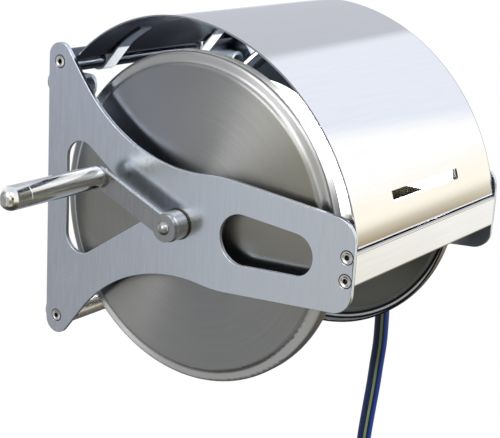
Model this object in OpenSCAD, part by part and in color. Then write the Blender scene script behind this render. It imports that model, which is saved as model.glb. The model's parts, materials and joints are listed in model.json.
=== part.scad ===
// Wall-mounted stainless hose reel: two X-shaped side plates on cross tubes carry a sheet-metal drum
// with a crank, under a hood that hinges on the upper tube. Water enters through the far end of the
// axle. Origin: centre of the four wall bolts, on the wall. +Z up, -Y into the room, crank at -X.

/* [Drum] */
// Radius of the two drum discs over their rolled rims
drum_r = 180; // [150:1:220]
// Distance over the two rims
drum_w = 268; // [180:1:360]
// Outer radius of the winding core
core_r = 60; // [50:1:90]
// Wall of the winding core
core_t = 2; // [1.5:0.1:4]
// Sheet thickness of the discs
disc_t = 2; // [1.2:0.1:2.4]
// Width of the skirt turned in round a disc
skirt_w = 14; // [10:0.5:20]
// Radius of the edge between skirt and lip
edge_r = 4; // [3:0.1:6]
// Width of the lip outside the pressed step, skirt edge included
lip_w = 9; // [7:0.5:14]
// Width of the pressed step inside the lip
step_w = 7; // [6:0.5:12]
// How far the disc face stands out beyond the lip
step_h = 4; // [2:0.1:4]

/* [Side plates] */
// Thickness of the side plates
plate_t = 5; // [4:0.5:8]
// Gap between a disc rim and the side plate
side_gap = 18; // [16:1:30]
// Half height of the plate at its waist, beside the hub
waist_half = 58.5; // [50:0.5:66]
// Distance of the waist in front of the drum axis
waist_y = 10; // [0:1:25]
// Radius of the round ears at the wall side
ear_r = 16; // [14:0.5:18]
// Distance from the cross tube axis to the centre of the ear's round tip
ear_tip = 5; // [2:0.5:8]
// Width of the narrow neck between an ear and the concave edge
ear_neck = 4.4; // [2:0.2:8]
// Radius of the low hump between the waist and the nose
hump_r = 150; // [110:5:200]
// Distance of the hump in front of the waist
hump_y = 42; // [30:1:55]
// Radius of the corners of the nose
nose_r = 23; // [15:1:30]
// Half height of the nose
nose_half = 49; // [44:0.5:54]

/* [Plate windows] */
// Width of the plate left behind the triangular window
rear_web = 29; // [22:1:36]
// Corner radius of the triangular window at the wall side
tri_r = 22; // [14:1:26]
// Half distance between the centres of those two corners
tri_half = 42.5; // [32:0.5:48]
// Distance from the drum axis to the centre of the window's tip
tri_tip_y = 56; // [50:1:75]
// Radius of the window's tip
tip_r = 10; // [7:0.5:13]
// Distance from the drum axis to the large end of the arm window
slot_near_y = 81.5; // [72:0.5:92]
// Radius of the large end of the arm window
slot_near_r = 27; // [18:0.5:32]
// Length of the arm window between the centres of its ends
slot_l = 65.5; // [40:0.5:76]
// Radius of the small end of the arm window
slot_far_r = 22; // [14:0.5:26]

/* [Cross tubes and wall bosses] */
// Radius of the two cross tubes
tube_r = 13; // [11.5:0.5:14]
// Wall of the cross tubes
tube_t = 2; // [1.5:0.5:3]
// Thickness of the threaded plugs in the tube ends
plug_t = 7; // [5:0.5:8]
// Distance from the wall to the axes of the cross tubes
tube_back = 23; // [20:0.5:32]
// Radius of the wall bosses
boss_r = 14; // [12:0.5:16]
// Length of the upper wall bosses
boss_l = 49; // [40:1:51]
// Drop of the upper wall bosses below the upper tube
boss_drop = 26; // [22:1:34]
// Radius of the lower wall bosses
foot_r = 13; // [11:0.5:14]
// Radius of the wall bolt holes
bolt_r = 5.5; // [4:0.5:6.5]
// Radius of the pocket for a bolt head
pocket_r = 10; // [9:0.5:11]
// Depth of the pocket for a bolt head
pocket_h = 30; // [10:1:36]

/* [Hood] */
// Sheet thickness of the hood
hood_t = 1.5; // [1:0.1:2.5]
// Gap between the hood and a side plate
hood_side = 3; // [2:0.5:6]
// How much larger the rear arc of the hood is than the drum
hood_over = 18; // [16:1:30]
// How much larger the front arc is than the rear arc
hood_flat = 40; // [20:1:60]
// Shift of the rear arc's centre towards the wall
hood_back = 14; // [8:0.5:20]
// Lift of the rear arc's centre above the drum axis
hood_lift = 18; // [12:0.5:24]
// Angle at which the rear arc meets the front arc
hood_join = 98.8; // [92:0.2:110]
// Angle of the hinge tube seen from the rear arc's centre
hinge_a = 39.1; // [36:0.1:42]
// Angle from the hinge tube to the rear edge of the hood
hinge_gap_a = 4.3; // [4:0.1:8]
// Distance of the hinge tube axis outside the rear arc
hinge_out = 8.2; // [7.5:0.1:10]
// Height of the hood's front edge above the front panel
hood_rest = 2; // [1.5:0.1:4]
// Depth of the folded hem along the hood's front edge
hem_w = 8; // [5:0.5:12]

/* [Hood finger slot and hinge straps] */
// Width of the finger slot
grip_slot_w = 142; // [90:1:180]
// Height of the finger slot
grip_slot_h = 11.5; // [9:0.5:14]
// Height of the finger slot above the hood's front edge
grip_slot_z = 31; // [26:1:45]
// Depth of the lip folded in below the finger slot
grip_lip = 11; // [6:0.5:16]
// Width of a hinge strap
strap_w = 19; // [14:1:30]
// Thickness of a hinge strap
strap_t = 2; // [1.5:0.1:2.2]
// Distance of a hinge strap from the middle
strap_x = 87; // [60:1:100]
// Angle along the rear arc at which a strap meets the hood
strap_a = 50; // [48:0.5:56]
// Angle that the riveted pad of a strap covers
strap_pad_a = 10; // [8:0.5:14]

/* [Front panel] */
// Height of the front panel
panel_h = 36.5; // [34:0.5:42]
// Height of the panel's top edge above the drum axis
panel_top = 17.3; // [14:0.1:20]
// Sheet thickness of the front panel
panel_t = 2; // [1.5:0.1:2.5]
// Depth of the panel's folded flanges
panel_fold = 16; // [14:0.5:22]
// Depth of the round lips along the panel's top and bottom
panel_lip = 11; // [9:0.5:13]
// Outer radius of the panel's bends
panel_bend_r = 3.5; // [3:0.5:4.5]
// Thickness of the tapped bars behind the panel's ends
bar_t = 6; // [5:0.5:8]
// Distance between the two screws at one end
panel_pitch = 24; // [20:1:25]
// Distance from the nose edge to the screws
panel_screw_y = 8; // [7.5:0.5:9]
// Distance of a hood buffer from the middle
buffer_x = 100; // [40:1:120]
// Radius of a hood buffer
buffer_r = 5; // [3:0.5:6]

/* [Screws] */
// Radius of the countersunk screw heads
head_r = 7.4; // [6.5:0.1:7.6]
// Height of the countersunk heads
head_h = 4; // [3:0.1:4]
// Shank radius of the countersunk screws
shank_r = 4; // [3:0.1:4.2]
// Hexagon socket across corners, as a radius
socket_r = 2.9; // [2:0.1:3.2]
// Depth of the hexagon sockets
socket_h = 2.4; // [1.5:0.1:2.6]
// How far a cross tube screw stops short of its plug's inner face
screw_back = 1; // [0.5:0.5:2]

/* [Fits] */
// Radial running clearance in the bearings
run_gap = 0.05; // [0.02:0.01:0.1]
// Radial clearance between fixed pieces that sit in each other
fit = 0.03; // [0.01:0.01:0.1]
// Gap between turning and fixed faces
play = 0.3; // [0.3:0.05:0.5]

/* [Axle and bearings] */
// Radius of the crank shaft
shaft_r = 10; // [8:0.5:11]
// Radius of the hollow inlet shaft
inlet_r = 12; // [11:0.5:13]
// Radius of the waterway
water_r = 6.5; // [5:0.5:7.5]
// Wall of the bearing bushes
bush_t = 3; // [2:0.5:4]
// Wall of the bearing rings on the plates
ring_t = 12; // [8:0.5:16]
// Length of the bearing rings
ring_l = 8; // [6:0.5:10]
// Flange of the crank-side bush beyond its body
bush_lip = 4; // [3:0.5:5]
// Thickness of that flange
bush_lip_t = 1.5; // [1:0.1:2.5]
// Radius of the hub flanges inside the discs
hub_r = 32; // [28:1:40]
// Thickness of the hub flanges
hub_t = 6; // [4:0.5:8]
// Wall of the hub collars between disc and bearing
collar_t = 7; // [5:0.5:9]
// Wall at the closed end of the inlet shaft
shaft_foot = 2; // [2:0.5:3]

/* [Crank] */
// Distance from the axle to the handle
crank_r = 100; // [80:1:115]
// Angle of the crank arm above the level, towards the wall
crank_a = 22; // [0:1:90]
// Width of the crank arm
arm_w = 22; // [18:0.5:26]
// Thickness of the crank arm
arm_t = 5; // [4:0.5:8]
// Radius of the arm's eye at the hub
eye_r = 15; // [13.5:0.5:16]
// Radius of the crank boss
crank_boss_r = 16; // [15:0.5:20]
// Length of the crank boss
crank_boss_l = 17.4; // [14:0.1:24]
// Chamfer of the crank boss under the arm
boss_chamfer = 1; // [0.5:0.1:2]
// Radius of the domed screw head on the hub
dome_r = 7.2; // [6:0.1:8]
// Height of that head
dome_h = 5; // [4:0.1:6]
// Height of the straight edge under that dome
dome_edge = 0.8; // [0.5:0.1:1.5]
// How far that screw reaches into the shaft
screw_reach = 20; // [14:1:30]
// How much deeper its hole is
screw_spare = 5; // [2:1:8]

/* [Handle] */
// Radius of the handle
grip_r = 12.75; // [11:0.25:15]
// Length of the turning sleeve
grip_l = 108; // [90:1:130]
// Depth of the neck at the sleeve's arm end
grip_neck_h = 1.5; // [0.5:0.5:2.5]
// Length of that neck
grip_neck_l = 2; // [1:0.5:4]
// Radius of the sleeve's rounded ends
grip_round = 1; // [0.5:0.1:1.5]
// Length of the domed cap
cap_l = 27; // [24:0.5:34]
// Radius of the dome's shoulder
cap_round = 9.5; // [6:0.5:10.5]
// Radius of the spindle inside the handle
spindle_r = 5; // [4.5:0.5:6]
// Radius of the spindle's head
spindle_head_r = 8; // [7.5:0.5:8]
// Height of the spindle's head
spindle_head_h = 6; // [4:0.5:7]
// Thickness of the nut on the spindle
spindle_nut_t = 5; // [4:0.5:6]
// Radius of that nut over its corners
spindle_nut_r = 9; // [8.5:0.5:10.5]
// How far the spindle stands out of its nut
spindle_end = 1; // [0.5:0.5:3]
// Thickness of the washer under the handle
washer_t = 1.5; // [1:0.1:2]
// Radius of that washer
washer_r = 10.75; // [9:0.25:12]

/* [Water inlet] */
// Radius of the inlet housing's flange
flange_r = 33; // [30:0.5:36]
// Thickness of that flange
flange_t = 5; // [4:0.5:5]
// Radius of the inlet housing
housing_r = 20; // [18:0.5:22]
// Distance from the side plate to the port axis
port_x = 21; // [21:0.5:26]
// Wall of the housing beyond the port
housing_end = 2; // [1:0.5:4]
// How much wider the chamber is than the waterway, as a radius
chamber_over = 2; // [1:0.5:3]
// Shoulder between the shaft's seat and the chamber
seat_wall = 2; // [1.5:0.5:3]
// Radius of the section of the sealing rings
seal_r = 1.6; // [1.3:0.1:1.7]
// Distance from the side plate to the first sealing ring
seal_in = 3; // [2.5:0.1:3.3]
// Distance between the sealing rings
seal_pitch = 4.5; // [3.5:0.1:4.8]
// Radius of the inlet port
port_r = 13; // [11:0.5:14]
// Distance from the axle to the mouth of the port
port_l = 38; // [34:0.5:44]
// Angle of the port in front of straight down
port_a = 30; // [0:1:60]
// Radius of the housing's screw circle
flange_pcd_r = 27; // [25.5:0.5:28]
// Radius of the housing screws' heads
small_head_r = 4.5; // [4:0.1:5]
// Height of those heads
small_head_h = 3; // [2:0.1:4]
// Depth of their sockets
small_socket_h = 2; // [1:0.1:2]
// Shank radius of the housing screws
small_shank_r = 2.5; // [2:0.1:3]

/* [Feed hose] */
// Radius of the feed hose
hose_r = 9; // [8:0.5:10]
// Height of the union nuts
nut_h = 16; // [14:0.5:20]
// How far a union nut reaches over the port
nut_grip = 10; // [7:0.5:12]
// Radius of the union nuts over their corners
nut_r = 17; // [15:0.5:18]
// Radius of the threads inside the union nuts
thread_r = 12; // [11:0.1:12.5]
// Relief behind the thread of a union nut
nut_relief = 0.5; // [0.2:0.1:0.9]
// Thickness of the flange on a hose tail
tail_flange_t = 2.5; // [2:0.1:3]
// Gap round that flange inside the nut's thread
tail_flange_gap = 1; // [0.5:0.1:1.5]
// Radius of the neck of a hose tail
tail_neck_r = 8.5; // [7.5:0.1:9.5]
// Radius of the hose ferrules
ferrule_r = 11.5; // [10.5:0.5:13]
// Length of the hose ferrules
ferrule_l = 24; // [16:1:30]
// Number of crimp grooves round a ferrule
crimps = 4; // [2:1:5]
// Radius of the rollers that press them
crimp_r = 2; // [1.5:0.1:3]
// Depth of a crimp groove
crimp_h = 0.6; // [0.3:0.1:0.9]
// Radius of the waterway through the hose tails
tail_bore_r = 5; // [4:0.5:6]

/* [Drum outlet] */
// Radius of the outlet pipe
outlet_r = 9; // [8:0.5:10]
// Distance of the outlet pipe from the middle, towards the inlet
outlet_x = 50; // [20:1:70]
// Radius at which the outlet pipe bends to follow the core
outlet_bend = 75; // [72:1:80]
// Radius of the outlet pipe's bend
bend_r = 12; // [11:0.5:15]
// Distance from the riser to the pipe's end
outlet_end = 34; // [26:1:44]
// Gap round the outlet pipe where it leaves the core
outlet_gap = 1; // [0.5:0.1:3]
// Length of the barbed hose tail
tail_l = 34; // [24:1:45]
// Radius of the barbed tail's stem
tail_r = 6.5; // [6:0.25:8]
// Wall of that stem
tail_wall = 2; // [1.5:0.1:3]
// Number of barbs
barbs = 4; // [2:1:5]
// How far a barb stands out
barb_h = 1; // [0.5:0.1:1.5]

/* [Hidden] */
$fn = 96;

left = -1;
right = 1;
// Straight edges are tucked this far inside the arcs that they join, so that the two cross cleanly
tuck = 0.01;

// Stations along the axle, measured from the middle of the drum
rim_x = drum_w / 2;
face_x = rim_x + step_h;
plate_in = rim_x + side_gap;
plate_out = plate_in + plate_t;
hood_half = plate_in - hood_side;
ring_in = plate_in - ring_l;
boss_in = plate_out + bush_lip_t + play;
arm_in = boss_in + crank_boss_l;
arm_out = arm_in + arm_t;
grip_in = arm_out + washer_t + play;
grip_out = grip_in + grip_l;
hose_x = plate_out + port_x;

// Section of a disc as [radius, station]: two arcs make the step between lip and face
step_r = (step_w * step_w + step_h * step_h) / (4 * step_h);
step_low_c = [drum_r - lip_w, rim_x + step_r];
step_high_c = [drum_r - lip_w - step_w, face_x - step_r];

// Hood arcs and hinge, seen along the axle as [towards the wall, up] from the drum axis
hood_rear_r = drum_r + hood_over;
hood_front_r = hood_rear_r + hood_flat;
hood_rear_c = [hood_back, hood_lift];
hood_front_c = hood_rear_c - hood_flat * [cos(hood_join), sin(hood_join)];
tube_upper = hood_rear_c + (hood_rear_r + hinge_out) * [cos(hinge_a), sin(hinge_a)];
tube_lower = [tube_upper[0], -tube_upper[1]];
hood_rear_a = hinge_a + hinge_gap_a;
hood_sill = panel_top + hood_rest;
hood_front_a = 180 - asin((hood_sill - hood_front_c[1]) / hood_front_r);
slot_low_a = 180 - asin((hood_sill + grip_slot_z - hood_front_c[1]) / hood_front_r);
slot_high_a = slot_low_a - grip_slot_h / hood_front_r * 180 / PI;

// Reach of the frame
drum_reach = tube_upper[0] + tube_back;
nose_y = hood_front_c[0] + hood_front_r * cos(hood_front_a) - hood_t;
boss_z = tube_upper[1] - boss_drop;
drum_rise = -(boss_z + tube_lower[1]) / 2;
boss_x = plate_in - boss_r;

// Plate outline: the concave edge runs round the waist and leaves ear_neck of metal beside the ear
ear_c = tube_upper + [0, ear_tip];
ear_k = ear_r + ear_neck;
ear_dy = ear_c[0] + waist_y;
ear_dz = ear_c[1] - waist_half;
waist_r = (ear_dy * ear_dy + ear_dz * ear_dz - ear_k * ear_k) / (2 * (ear_k + ear_dz));
waist_c = [-waist_y, waist_half + waist_r];
hump_c = [-waist_y - hump_y, waist_c[1] - sqrt(pow(waist_r + hump_r, 2) - hump_y * hump_y)];
nose_c = [nose_y + nose_r, nose_half - nose_r];

// Plate windows
tri_c = [tube_upper[0] + ear_r - rear_web - tri_r, tri_half];
tip_c = [tri_tip_y, 0];
slot_near_c = [-slot_near_y, 0];
slot_far_c = [-slot_near_y - slot_l, 0];

// Panel and its screws
panel_mid = panel_top - panel_h / 2;
panel_screw_at = [for (s = [-1, 1]) [nose_y + panel_screw_y, panel_mid + s * panel_pitch / 2]];

// Hinge straps
strap_in = tube_r + run_gap;
strap_out = strap_in + strap_t;
pad_out = hood_rear_r - hood_t;
strap_end = hood_rear_c + (pad_out - strap_t / 2) * [cos(strap_a), sin(strap_a)];

// Inlet housing along its own axis
housing_l = port_x + port_r + housing_end;
chamber_r = water_r + chamber_over;
seat_l = port_x - chamber_r - seat_wall;
bush_right_r = inlet_r + run_gap + bush_t;
bush_left_r = shaft_r + run_gap + bush_t;
seal_at = [seal_in, seal_in + seal_pitch];

// Feed hose: its centre line hangs from the ferrule, [towards the wall, up] from the drum axis
port_dir = [-sin(port_a), -cos(port_a)];
fitting_l = nut_h - nut_grip + ferrule_l;
hose_start = port_l + fitting_l;
hose_route = [
    [-41, -71], [-49, -86], [-56, -102], [-62, -120], [-67, -140], [-70, -162],
    [-71, -186], [-71, -212], [-69, -240], [-67, -270], [-64, -302], [-61, -336], [-59, -370],
    [-57, -404], [-56, -438]
];
hose_path = concat([hose_start * port_dir], [for (p = hose_route) if (norm(p) > hose_start + hose_r) p]);
hose_sides = 12;
hose_end = hose_path[len(hose_path) - 1];
hose_end_dir = unit(hose_end - hose_path[len(hose_path) - 2]);

// Outlet inside the drum
barb_pitch = tail_l / (barbs + 2);

function unit(v) = v / norm(v);
function turn(v) = [-v[1], v[0]];
function flip(p) = [p[0], -p[1]];
// Touch points of the straight line that keeps circles a and b on its left
function tangent(ca, ra, cb, rb) =
    let (d = cb - ca, s = (ra - rb) / norm(d), u = unit(d), w = s * u - sqrt(1 - s * s) * turn(u))
    [ca + ra * w, cb + rb * w];
// Touch points of the line that keeps circle a on its left and circle b on its right
function cross_tangent(ca, ra, cb, rb) =
    let (d = cb - ca, s = (ra + rb) / norm(d), u = unit(d), w = s * u - sqrt(1 - s * s) * turn(u))
    [ca + ra * w, cb - rb * w];

// Places what is drawn round the drum axis
module at_drum() {
    translate([0, -drum_reach, drum_rise]) children();
}

// Mirrors what is drawn for the right side when the left is wanted
module on_side(side) {
    mirror([side == left ? 1 : 0, 0, 0]) children();
}

// Extrudes an outline seen along the axle from station x0 to x1
module along_x(x0, x1) {
    translate([x0, 0, 0]) rotate([90, 0, 90]) linear_extrude(x1 - x0) children();
}

// Revolves a section [radius, station] about the axle
module turned() {
    rotate([0, 90, 0]) rotate_extrude() children();
}

// Cylinder along the axle between two stations
module rod(r, x0, x1) {
    translate([x0, 0, 0]) rotate([0, 90, 0]) cylinder(r = r, h = x1 - x0);
}

// Places what is drawn at a point seen along the axle
module at_yz(p) {
    translate([0, p[0], p[1]]) children();
}

// Cylinder towards the wall between two depths measured from the drum axis
module wall_rod(r, y0, y1) {
    translate([0, y0, 0]) rotate([-90, 0, 0]) cylinder(r = r, h = y1 - y0);
}

// Flat ring between two angles
module ring_sector(r_out, r_in, a0, a1) {
    reach = 2 * r_out;
    mid = (a0 + a1) / 2;
    intersection() {
        difference() {
            circle(r_out);
            circle(r_in);
        }
        polygon([
            [0, 0], reach * [cos(a0), sin(a0)], reach * [cos(mid), sin(mid)], reach * [cos(a1), sin(a1)]
        ]);
    }
}

// Rectangle with round corners from corner a to corner b
module round_box(a, b, r) {
    for (u = [a[0] + r, b[0] - r]) {
        for (v = [a[1] + r, b[1] - r]) translate([u, v]) circle(r);
    }
    translate([a[0] + r, a[1]]) square([b[0] - a[0] - 2 * r, b[1] - a[1]]);
    translate([a[0], a[1] + r]) square([b[0] - a[0], b[1] - a[1] - 2 * r]);
}

// ---- Frame ----

module triangle_window() {
    top = tangent(tri_c, tri_r - tuck, tip_c, tip_r - tuck);
    back = tri_c + [tri_r - tuck, 0];
    for (c = [tri_c, flip(tri_c)]) translate(c) circle(tri_r);
    translate(tip_c) circle(tip_r);
    polygon([back, top[0], top[1], flip(top[1]), flip(top[0]), flip(back)]);
}

module arm_window() {
    low = tangent(slot_far_c, slot_far_r - tuck, slot_near_c, slot_near_r - tuck);
    translate(slot_near_c) circle(slot_near_r);
    translate(slot_far_c) circle(slot_far_r);
    polygon([low[0], low[1], flip(low[1]), flip(low[0])]);
}

// X-shaped outline of a side plate
module plate_outline() {
    flank = cross_tangent(ear_c, ear_r - tuck, waist_c, waist_r - tuck);
    crest = waist_c + waist_r * unit(hump_c - waist_c);
    brow = tangent(hump_c, hump_r - tuck, nose_c, nose_r - tuck);
    top = [
        ear_c + [ear_r - tuck, 0], flank[0], flank[1], crest, brow[0], brow[1], nose_c - [nose_r - tuck, 0]
    ];
    rise = [0, hump_r / 4];
    past = brow[0] - [hump_r / 20, 0];
    difference() {
        union() {
            polygon(concat(top, [for (i = [len(top) - 1 : -1 : 0]) flip(top[i])]));
            for (c = [ear_c, flip(ear_c)]) translate(c) circle(ear_r);
            for (c = [nose_c, flip(nose_c)]) translate(c) circle(nose_r);
            intersection() {
                translate(hump_c) circle(hump_r + tuck);
                translate(flip(hump_c)) circle(hump_r + tuck);
                polygon([crest + rise, past + rise, flip(past + rise), flip(crest + rise)]);
            }
        }
        for (c = [waist_c, flip(waist_c)]) translate(c) circle(waist_r);
    }
}

// Cone of a countersunk head, flush at station x and wider by gap
module sunk_head(x, gap) {
    translate([x - head_h, 0, 0]) rotate([0, 90, 0])
        cylinder(r1 = shank_r + gap, r2 = head_r + gap, h = head_h);
}

// Hexagon socket cut in from station x
module socket(r, depth, x) {
    translate([x - depth, 0, 0]) rotate([0, 90, 0]) cylinder(r = r, h = 2 * depth, $fn = 6);
}

// Hole with a countersink that opens at station x
module sunk_hole(x) {
    rod(shank_r + fit, x - 4 * plate_t, x + plate_t);
    sunk_head(x, fit);
}

module side_plate(side) {
    color("lightsteelblue") at_drum() on_side(side) difference() {
        along_x(plate_in, plate_out) difference() {
            plate_outline();
            triangle_window();
            arm_window();
        }
        for (p = concat([tube_upper, tube_lower], panel_screw_at)) at_yz(p) sunk_hole(plate_out);
        rod((side == left ? bush_left_r : bush_right_r) + fit, plate_in - plate_t, plate_out + plate_t);
        if (side == right) at_housing_screws() rod(small_shank_r, plate_in - plate_t, plate_out + plate_t);
    }
}

module cross_tube(at) {
    difference() {
        rod(tube_r, -plate_in, plate_in);
        rod(tube_r - tube_t, -plate_in - plate_t, plate_in + plate_t);
    }
}

module upper_tube() {
    color("darkkhaki") at_drum() at_yz(tube_upper) cross_tube();
}

// The lower tube is drilled across for the two lower wall bolts
module lower_tube() {
    color("darkkhaki") at_drum() at_yz(tube_lower) difference() {
        cross_tube();
        for (s = [left, right]) translate([s * boss_x, 0, 0]) wall_rod(bolt_r, -2 * tube_r, 2 * tube_r);
    }
}

module tube_plugs() {
    color("gray") at_drum() for (p = [tube_upper, tube_lower]) {
        for (s = [left, right]) at_yz(p) on_side(s) difference() {
            rod(tube_r - tube_t - fit, plate_in - plug_t, plate_in);
            rod(shank_r + fit, plate_in - 2 * plug_t, plate_out);
        }
    }
}

// Countersunk screw with a hexagon socket, its head flush at station x
module sunk_screw(x, length) {
    difference() {
        union() {
            rod(shank_r, x - length, x);
            sunk_head(x, 0);
        }
        socket(socket_r, socket_h, x);
    }
}

module tube_screws() {
    color("silver") at_drum() for (p = [tube_upper, tube_lower]) {
        for (s = [left, right]) at_yz(p) on_side(s) sunk_screw(plate_out, plate_t + plug_t - screw_back);
    }
}

// Boss that carries the upper tube off the wall, with a pocket for the bolt head
module wall_boss_upper(side) {
    color("darkkhaki") at_drum() translate([side * boss_x, 0, 0]) difference() {
        translate([0, 0, boss_z]) difference() {
            wall_rod(boss_r, drum_reach - boss_l, drum_reach);
            wall_rod(bolt_r, drum_reach - 2 * boss_l, drum_reach + boss_l);
            wall_rod(pocket_r, drum_reach - boss_l - pocket_h, drum_reach - boss_l + pocket_h);
        }
        at_yz(tube_upper) rod(tube_r + fit, -3 * boss_r, 3 * boss_r);
    }
}

// Foot between the lower tube and the wall; the bolt passes across the tube
module wall_boss_lower(side) {
    color("darkkhaki") at_drum() translate([side * boss_x, 0, 0]) difference() {
        translate([0, 0, tube_lower[1]]) difference() {
            wall_rod(foot_r, tube_lower[0], drum_reach);
            wall_rod(bolt_r, tube_lower[0] - tube_r, drum_reach + tube_r);
        }
        at_yz(tube_lower) rod(tube_r + fit, -3 * boss_r, 3 * boss_r);
    }
}

// Folded sheet across the front: round lips along top and bottom, a screwed flange at each end
module front_panel() {
    low = [nose_y, panel_top - panel_h];
    high = [nose_y + 2 * panel_lip, panel_top];
    inset = [panel_t, panel_t];
    flange = [nose_y + panel_fold, panel_top - panel_t / 2];
    color("gainsboro") at_drum() {
        along_x(-plate_in, plate_in) difference() {
            round_box(low, high, panel_bend_r);
            round_box(low + inset, high - inset, panel_bend_r - panel_t);
            translate([nose_y + panel_lip, low[1] - panel_h]) square(3 * panel_h);
        }
        for (s = [left, right]) on_side(s) difference() {
            along_x(plate_in - panel_t, plate_in) round_box(low + inset / 2, flange, panel_t);
            for (p = panel_screw_at) at_yz(p) rod(shank_r + fit, plate_in - 2 * panel_t, plate_out);
        }
    }
}

module panel_screws() {
    color("silver") at_drum() for (p = panel_screw_at) {
        for (s = [left, right]) at_yz(p) on_side(s) sunk_screw(plate_out, plate_t + panel_t + bar_t);
    }
}

// Tapped bars behind the panel's end flanges
module panel_nut_bars() {
    low = [nose_y, panel_top - panel_h] + (panel_t + fit) * [1, 1];
    high = [nose_y + panel_fold, panel_top - panel_t - fit];
    color("silver") at_drum() for (s = [left, right]) on_side(s) difference() {
        along_x(plate_in - panel_t - bar_t, plate_in - panel_t) round_box(low, high, panel_t);
        for (p = panel_screw_at) at_yz(p) rod(shank_r + fit, plate_in - 2 * bar_t, plate_in);
    }
}

// Rubber discs on the panel's top lip that the closed hood rests on
module hood_buffers() {
    color("dimgray") at_drum() for (s = [left, right]) {
        translate([s * buffer_x, nose_y + hood_t + buffer_r, panel_top])
            cylinder(r = buffer_r, h = hood_rest - play);
    }
}

// ---- Bearings and water inlet ----

module bearing_ring(side) {
    inner = (side == left ? bush_left_r : bush_right_r) + fit;
    color("darkgray") at_drum() on_side(side) difference() {
        rod(inner + ring_t, ring_in, plate_in);
        rod(inner, ring_in - ring_l, plate_in + ring_l);
    }
}

module bearing_bush_left() {
    color("peru") at_drum() on_side(left) difference() {
        union() {
            rod(bush_left_r, ring_in, plate_out);
            rod(bush_left_r + bush_lip, plate_out, plate_out + bush_lip_t);
        }
        rod(shaft_r + run_gap, ring_in - ring_l, plate_out + plate_t);
    }
}

module bearing_bush_right() {
    color("peru") at_drum() difference() {
        rod(bush_right_r, ring_in, plate_out);
        rod(inlet_r + run_gap, ring_in - ring_l, plate_out + plate_t);
    }
}

module at_housing_screws() {
    for (a = [90, 210, 330]) rotate([a, 0, 0]) translate([0, flange_pcd_r, 0]) children();
}

// Draws what follows along the port, with z = 0 on the drum axis
module at_port() {
    translate([hose_x, 0, 0]) rotate([180 - port_a, 0, 0]) children();
}

// Fixed housing that the hollow shaft turns in; the water comes in through its slanting port
module inlet_housing() {
    color("darkkhaki") at_drum() difference() {
        union() {
            rod(flange_r, plate_out, plate_out + flange_t);
            rod(housing_r, plate_out, plate_out + housing_l);
            at_port() cylinder(r = port_r, h = port_l - nut_grip);
            at_port() cylinder(r = thread_r, h = port_l);
        }
        rod(inlet_r + run_gap, plate_out - flange_t, plate_out + seat_l);
        rod(water_r, plate_out, hose_x);
        translate([hose_x, 0, 0]) sphere(chamber_r);
        for (x = seal_at) {
            rod(inlet_r + run_gap + 2 * seal_r, plate_out + x - seal_r, plate_out + x + seal_r);
        }
        at_port() cylinder(r = water_r, h = 2 * port_l);
        at_housing_screws() rod(small_shank_r, plate_out - flange_t, plate_out + 2 * flange_t);
    }
}

module housing_screws() {
    seat = plate_out + flange_t;
    color("silver") at_drum() at_housing_screws() difference() {
        union() {
            rod(small_shank_r - fit, plate_in, seat);
            rod(small_head_r, seat, seat + small_head_h);
        }
        socket(small_shank_r, small_socket_h, seat + small_head_h);
    }
}

// Two sealing rings in the grooves of the housing
module inlet_seals() {
    color("black") at_drum() for (x = seal_at) translate([plate_out + x, 0, 0]) turned() {
        translate([inlet_r + run_gap + seal_r, 0]) circle(seal_r);
    }
}

// Hexagon union nut over a port whose mouth is at z = 0
module union_nut() {
    difference() {
        translate([0, 0, -nut_grip]) rotate([0, 0, 30]) cylinder(r = nut_r, h = nut_h, $fn = 6);
        translate([0, 0, -2 * nut_grip]) cylinder(r = thread_r + fit, h = 2 * nut_grip);
        cylinder(r = thread_r + nut_relief, h = tail_flange_t);
        cylinder(r = tail_neck_r + fit, h = 2 * nut_h);
        translate([0, 0, -nut_grip]) nut_bevel();
        translate([0, 0, nut_h - nut_grip]) mirror([0, 0, 1]) nut_bevel();
    }
}

// Cone cut that takes the corners off a nut's end face at z = 0
module nut_bevel() {
    flat = nut_r * cos(30);
    past = nut_r - flat;
    rotate_extrude() polygon([[flat, 0], [nut_r + past, past], [nut_r + past, -past], [flat, -past]]);
}

// Tail with its crimped ferrule; the flange seats on the port at z = 0 and the hose starts at fitting_l
module hose_tail() {
    rotate_extrude() difference() {
        union() {
            square([thread_r - tail_flange_gap, tail_flange_t]);
            square([tail_neck_r, fitting_l - ferrule_l]);
            translate([0, fitting_l - ferrule_l]) square([ferrule_r, ferrule_l]);
        }
        square([tail_bore_r, 3 * fitting_l], center = true);
        for (k = [1 : crimps])
            translate([ferrule_r + crimp_r - crimp_h, fitting_l - ferrule_l * k / (crimps + 1)])
                circle(crimp_r);
    }
}

module at_inlet_mouth() {
    at_drum() at_port() translate([0, 0, port_l]) children();
}

module at_hose_end() {
    a = atan2(hose_end_dir[1], hose_end_dir[0]);
    at_drum() translate([hose_x, hose_end[0], hose_end[1]])
        rotate([a + 90, 0, 0]) translate([0, 0, -fitting_l]) children();
}

module inlet_nut() {
    color("darkkhaki") at_inlet_mouth() union_nut();
}

module inlet_ferrule() {
    color("silver") at_inlet_mouth() hose_tail();
}

module end_nut() {
    color("darkkhaki") at_hose_end() union_nut();
}

module end_ferrule() {
    color("silver") at_hose_end() hose_tail();
}

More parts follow.
